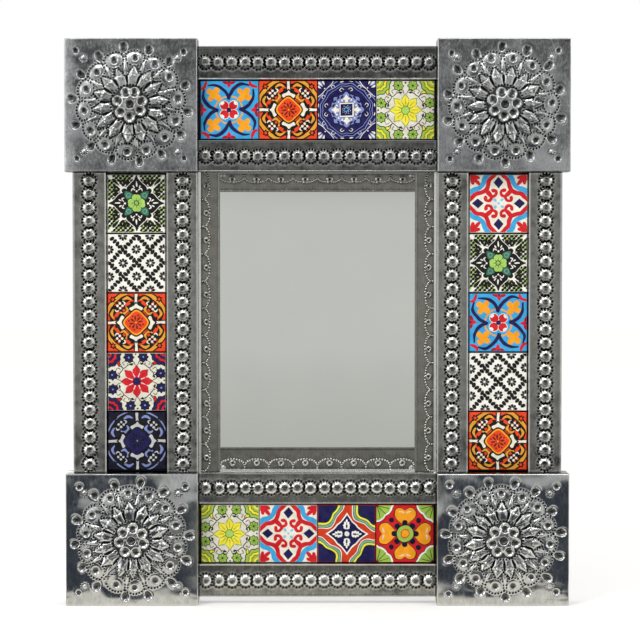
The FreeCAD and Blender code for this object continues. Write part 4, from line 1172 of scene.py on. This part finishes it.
def paintBeanLattice(p):
    # diagonal strings of beans, five to a side of each square, with one shared bean where they cross
    step, square = 0.094, 0.47
    for way in both:
        for offset in (-1, 0, 1):
            for k in range(-10, 11):
                x, z = k * step - offset * square, way * (k * step + offset * square)
                if max(abs(x), abs(z)) > 0.99 or (way < 0 and k % 5 == 0):
                    continue
                leaf(p, "black", x, z, 0.19, 0.128, way * 45 + 90 + 18 * (k % 3 - 1), 0, 10)
    for _ in quarters(p):
        for x, z in ((0, square), (-square, 2 * square), (square, 2 * square)):
            for a in range(0, 360, 45):
                leaf(p, "black", *around(a, 0.1, x, z), 0.14, 0.078, a, 0.6, 9)


def paintRedScrolls(p):
    for _ in quarters(p):
        stroke(p, "sky", at(-32, 104, -47, 86, -53, 68, -68, 53, -86, 47, -104, 32), 0.17, (1, 1))
        fill(p, "red", at(-106, 106, -106, 74, -90, 80, -80, 90, -74, 106))
        for turn, long in ((-80, 0.3), (-45, 0.42), (-10, 0.3)):
            leaf(p, "red", *around(turn, long / 2, -0.93, 0.93), long, 0.13, turn, 0.3, 10)
    for _ in quarters(p, both):
        stroke(p, "red", at(-8, 104, -20, 92, -33, 78, -37, 60, -44, 44), 0.145, (0.9, 1, 1, 1.1))
        stroke(p, "red", at(-44, 44, -33, 31, -20, 24, -9, 31, -10, 43, -19, 46), 0.1, (1.5, 1.1, 1, 1))
        leaf(p, "red", -0.19, 0.44, 0.15, 0.12, 150, 0.1)
    for _ in quarters(p):
        fill(p, "navy", at(0, 92, -17, 72, 0, 52, 17, 72))
        leaf(p, "paleBlue", -0.12, 0.12, 0.14, 0.1, 135, 0)
    leaf(p, "paleBlue", 0, 0, 0.09, 0.08, 0, 0)


def cornerEdge(count, radiusAt, share=1):
    # a shape that fills the tile's corner out to an edge, from its radius at each angle
    ways = [i / (count - 1) * math.pi / 2 for i in range(count)]
    edge = [(-1.0 + radiusAt(a) * math.sin(a), 1.0 - radiusAt(a) * math.cos(a)) for a in ways]
    edge = grown(edge, (-1, 1), share)
    return [(-1.06, edge[0][1]), *edge, (edge[-1][0], 1.06), (-1.06, 1.06)]


def paintRustOgee(p):
    for share, colour in ((1.04, "white"), (1.0, "black"), (0.975, "mint"), (0.89, "black"),
                          (0.865, "lemon"), (0.78, "black"), (0.74, "navy")):
        lobe = cornerEdge(33, lambda a: 0.84 - 0.06 * math.cos(6 * a) - 0.04 * math.sin(2 * a), share)
        for _ in quarters(p):
            fill(p, colour, lobe)
    tip = ((0, 0.66), (9, 0.54), (22, 0.455), (34, 0.43), (45, 0.44), (56, 0.43), (68, 0.455), (81, 0.54))
    tips = [around(90 * k + turn, r) for k in range(4) for turn, r in tip]
    fill(p, "white", grown(tips, (0, 0), 1.12))
    fill(p, "navy", tips)
    for _ in quarters(p):
        for z, spread, lean in ((0.2, 0.05, 50), (0.28, 0.07, 40), (0.36, 0.05, 25)):
            for side in both:
                leaf(p, "white", side * spread, z, 0.13, 0.075, 90 - side * lean, 0.4, 8)
        leaf(p, "white", 0, 0.45, 0.12, 0.07, 90, -0.3, 8)
    dot(p, "white", 0, 0, 0.09, 14)


def paintOrangeHearts(p):
    heart = mirrored(at(0, 24, -12, 36, -31, 54, -37, 70, -30, 86, -14, 89, 0, 81))
    for _ in quarters(p):
        patch(p, "black", grown(heart, (0, 0.6), 1.07))
        patch(p, "orange", heart)
        for colour, reach, wave in (("black", 0.62, 0.04), ("white", 0.6, 0.04), ("leaf", 0.54, 0.035)):
            fill(p, colour, cornerEdge(28, lambda a: reach + wave * abs(math.sin(4.5 * a))
                                       - 0.1 * math.sin(2 * a)))
        dot(p, "midnight", -0.47, 0.47, 0.09)
    for _ in quarters(p):
        for side in both:
            shine = [(side * 0.03, 0.72), (side * 0.11, 0.76), (side * 0.22, 0.78)]
            stroke(p, "blush", shine, 0.06, (0.6, 1, 0.3))
        for turn in (-58, -30, 0, 30, 58):
            vein = [(-0.98, 0.98), around(-45 + turn, 0.44, -0.98, 0.98)]
            stroke(p, "black", vein, 0.024, (1, 0.8), perSpan=2)
    for k in range(8):
        leaf(p, "midnight", *around(45 * k, 0.36), 0.23, 0.2, 45 * k, 0.15)
    for colour, radius, sides in (("midnight", 0.32, 24), ("leaf", 0.29, 24),
                                  ("rust", 0.16, 18), ("orange", 0.13, 16)):
        dot(p, colour, 0, 0, radius, sides)


scarletBands = {"field": "scarlet", "band": "amber", "dark": "black", "light": "cream", "line": "brown",
                "shade": "rust", "centre": "scarlet", "rim": "orange", "speck": "orange", "bandWidth": 0.12}
navyBands = {"field": "midnight", "band": "periwinkle", "dark": "black", "light": "pearl", "line": "black",
             "shade": "black", "centre": "navy", "rim": "navy", "speck": "periwinkle", "bandWidth": 0.048}
yellowGarden = {"petal": "yellow", "outline": "green", "rosette": "leaf", "ring": "yellow", "vein": "green",
                "eye": "black", "fold": "green", "gap": "green", "heart": "lime"}
redGarden = {"petal": "red", "outline": "crimson", "rosette": "navy", "ring": "red", "vein": "midnight",
             "eye": "periwinkle", "fold": "crimson", "gap": "white", "heart": "navy"}

# each pattern: its ground, who paints it, and its own set of glazes
patterns = {
    "blueClover": ("sky", paintBlueClover, None),
    "scarletCross": ("scarlet", paintBandedCross, scarletBands),
    "blueMedallion": ("navy", paintBlueMedallion, None),
    "yellowFlower": ("offWhite", paintGardenFlower, yellowGarden),
    "limeHearts": ("white", paintLimeHearts, None),
    "beanLattice": ("white", paintBeanLattice, None),
    "redFlower": ("offWhite", paintGardenFlower, redGarden),
    "navyCross": ("midnight", paintBandedCross, navyBands),
    "redScrolls": ("cream", paintRedScrolls, None),
    "rustOgee": ("rust", paintRustOgee, None),
    "orangeHearts": ("red", paintOrangeHearts, None),
}
tileRows = {
    "top": ["blueClover", "scarletCross", "blueMedallion", "yellowFlower"],
    "left": ["limeHearts", "beanLattice", "scarletCross", "redFlower", "navyCross"],
    "right": ["redScrolls", "limeHearts", "blueClover", "beanLattice", "scarletCross"],
    "bottom": ["yellowFlower", "redScrolls", "rustOgee", "orangeHearts"],
}
nodeSlots = {part["node"]: part["material_slot"] for part in frame["record"]["subparts"]}


def paintTile(name, node, patternName, seed):
    ground, draw, colours = patterns[patternName]
    p = {"bm": bmesh.new(), "colours": [], "turn": 0.0, "flip": 1, "laid": []}
    draw(p, colours) if colours else draw(p)
    bm = p["bm"]
    # the painter's hand: a slightly turned stencil and uneven lines
    rng = np.random.default_rng(seed)
    turn, shiftX, shiftZ = rng.normal(0, 0.01), rng.normal(0, 0.008), rng.normal(0, 0.008)
    phase = rng.uniform(0, 6.28, 4)
    for vert in bm.verts:
        x, z = vert.co.x, vert.co.y
        x, z = x - z * turn + shiftX, z + x * turn + shiftZ
        slow = (math.sin(9 * z + phase[0]), math.sin(9 * x + phase[2]))
        quick = (math.sin(23 * x + 17 * z + phase[1]), math.sin(21 * z - 15 * x + phase[3]))
        vert.co.x = x + tile["wobble"] * (slow[0] + 0.6 * quick[0])
        vert.co.y = z + tile["wobble"] * (slow[1] + 0.6 * quick[1])
    for x, z in ((1, 0), (-1, 0), (0, 1), (0, -1)):
        geometry = bm.verts[:] + bm.edges[:] + bm.faces[:]
        bmesh.ops.bisect_plane(bm, geom=geometry, dist=0.00001, plane_no=(x, z, 0), clear_outer=True,
                               plane_co=(x * tile["edge"], z * tile["edge"], 0))
    raised = bmesh.ops.extrude_face_region(bm, geom=bm.faces[:], use_keep_orig=True)["geom"]
    onTop = {vert for vert in raised if isinstance(vert, bmesh.types.BMVert)}
    low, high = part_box(node)
    for vert in bm.verts:
        height = vert.co.z if vert in onTop else -tile["bed"]
        vert.co = ((low.x + high.x) / 2 + vert.co.x * tile["half"] * mm, -(tile["face"] + height) * mm,
                   (low.z + high.z) / 2 + vert.co.y * tile["half"] * mm)
    bmesh.ops.recalc_face_normals(bm, faces=bm.faces)
    finishPiece(bm, name, [glaze[colour] for colour in p["colours"]], "frame", nodeSlots[node], None)
    nodes[node].data.materials.clear()
    nodes[node].data.materials.append(glaze[ground])


seed = 100
for side, names in tileRows.items():
    for number, patternName in enumerate(names, 1):
        seed += 1
        paintTile(f"painted_{side}_{number}", f"tile_{side}_{number}", patternName, seed)
print("tiles painted")
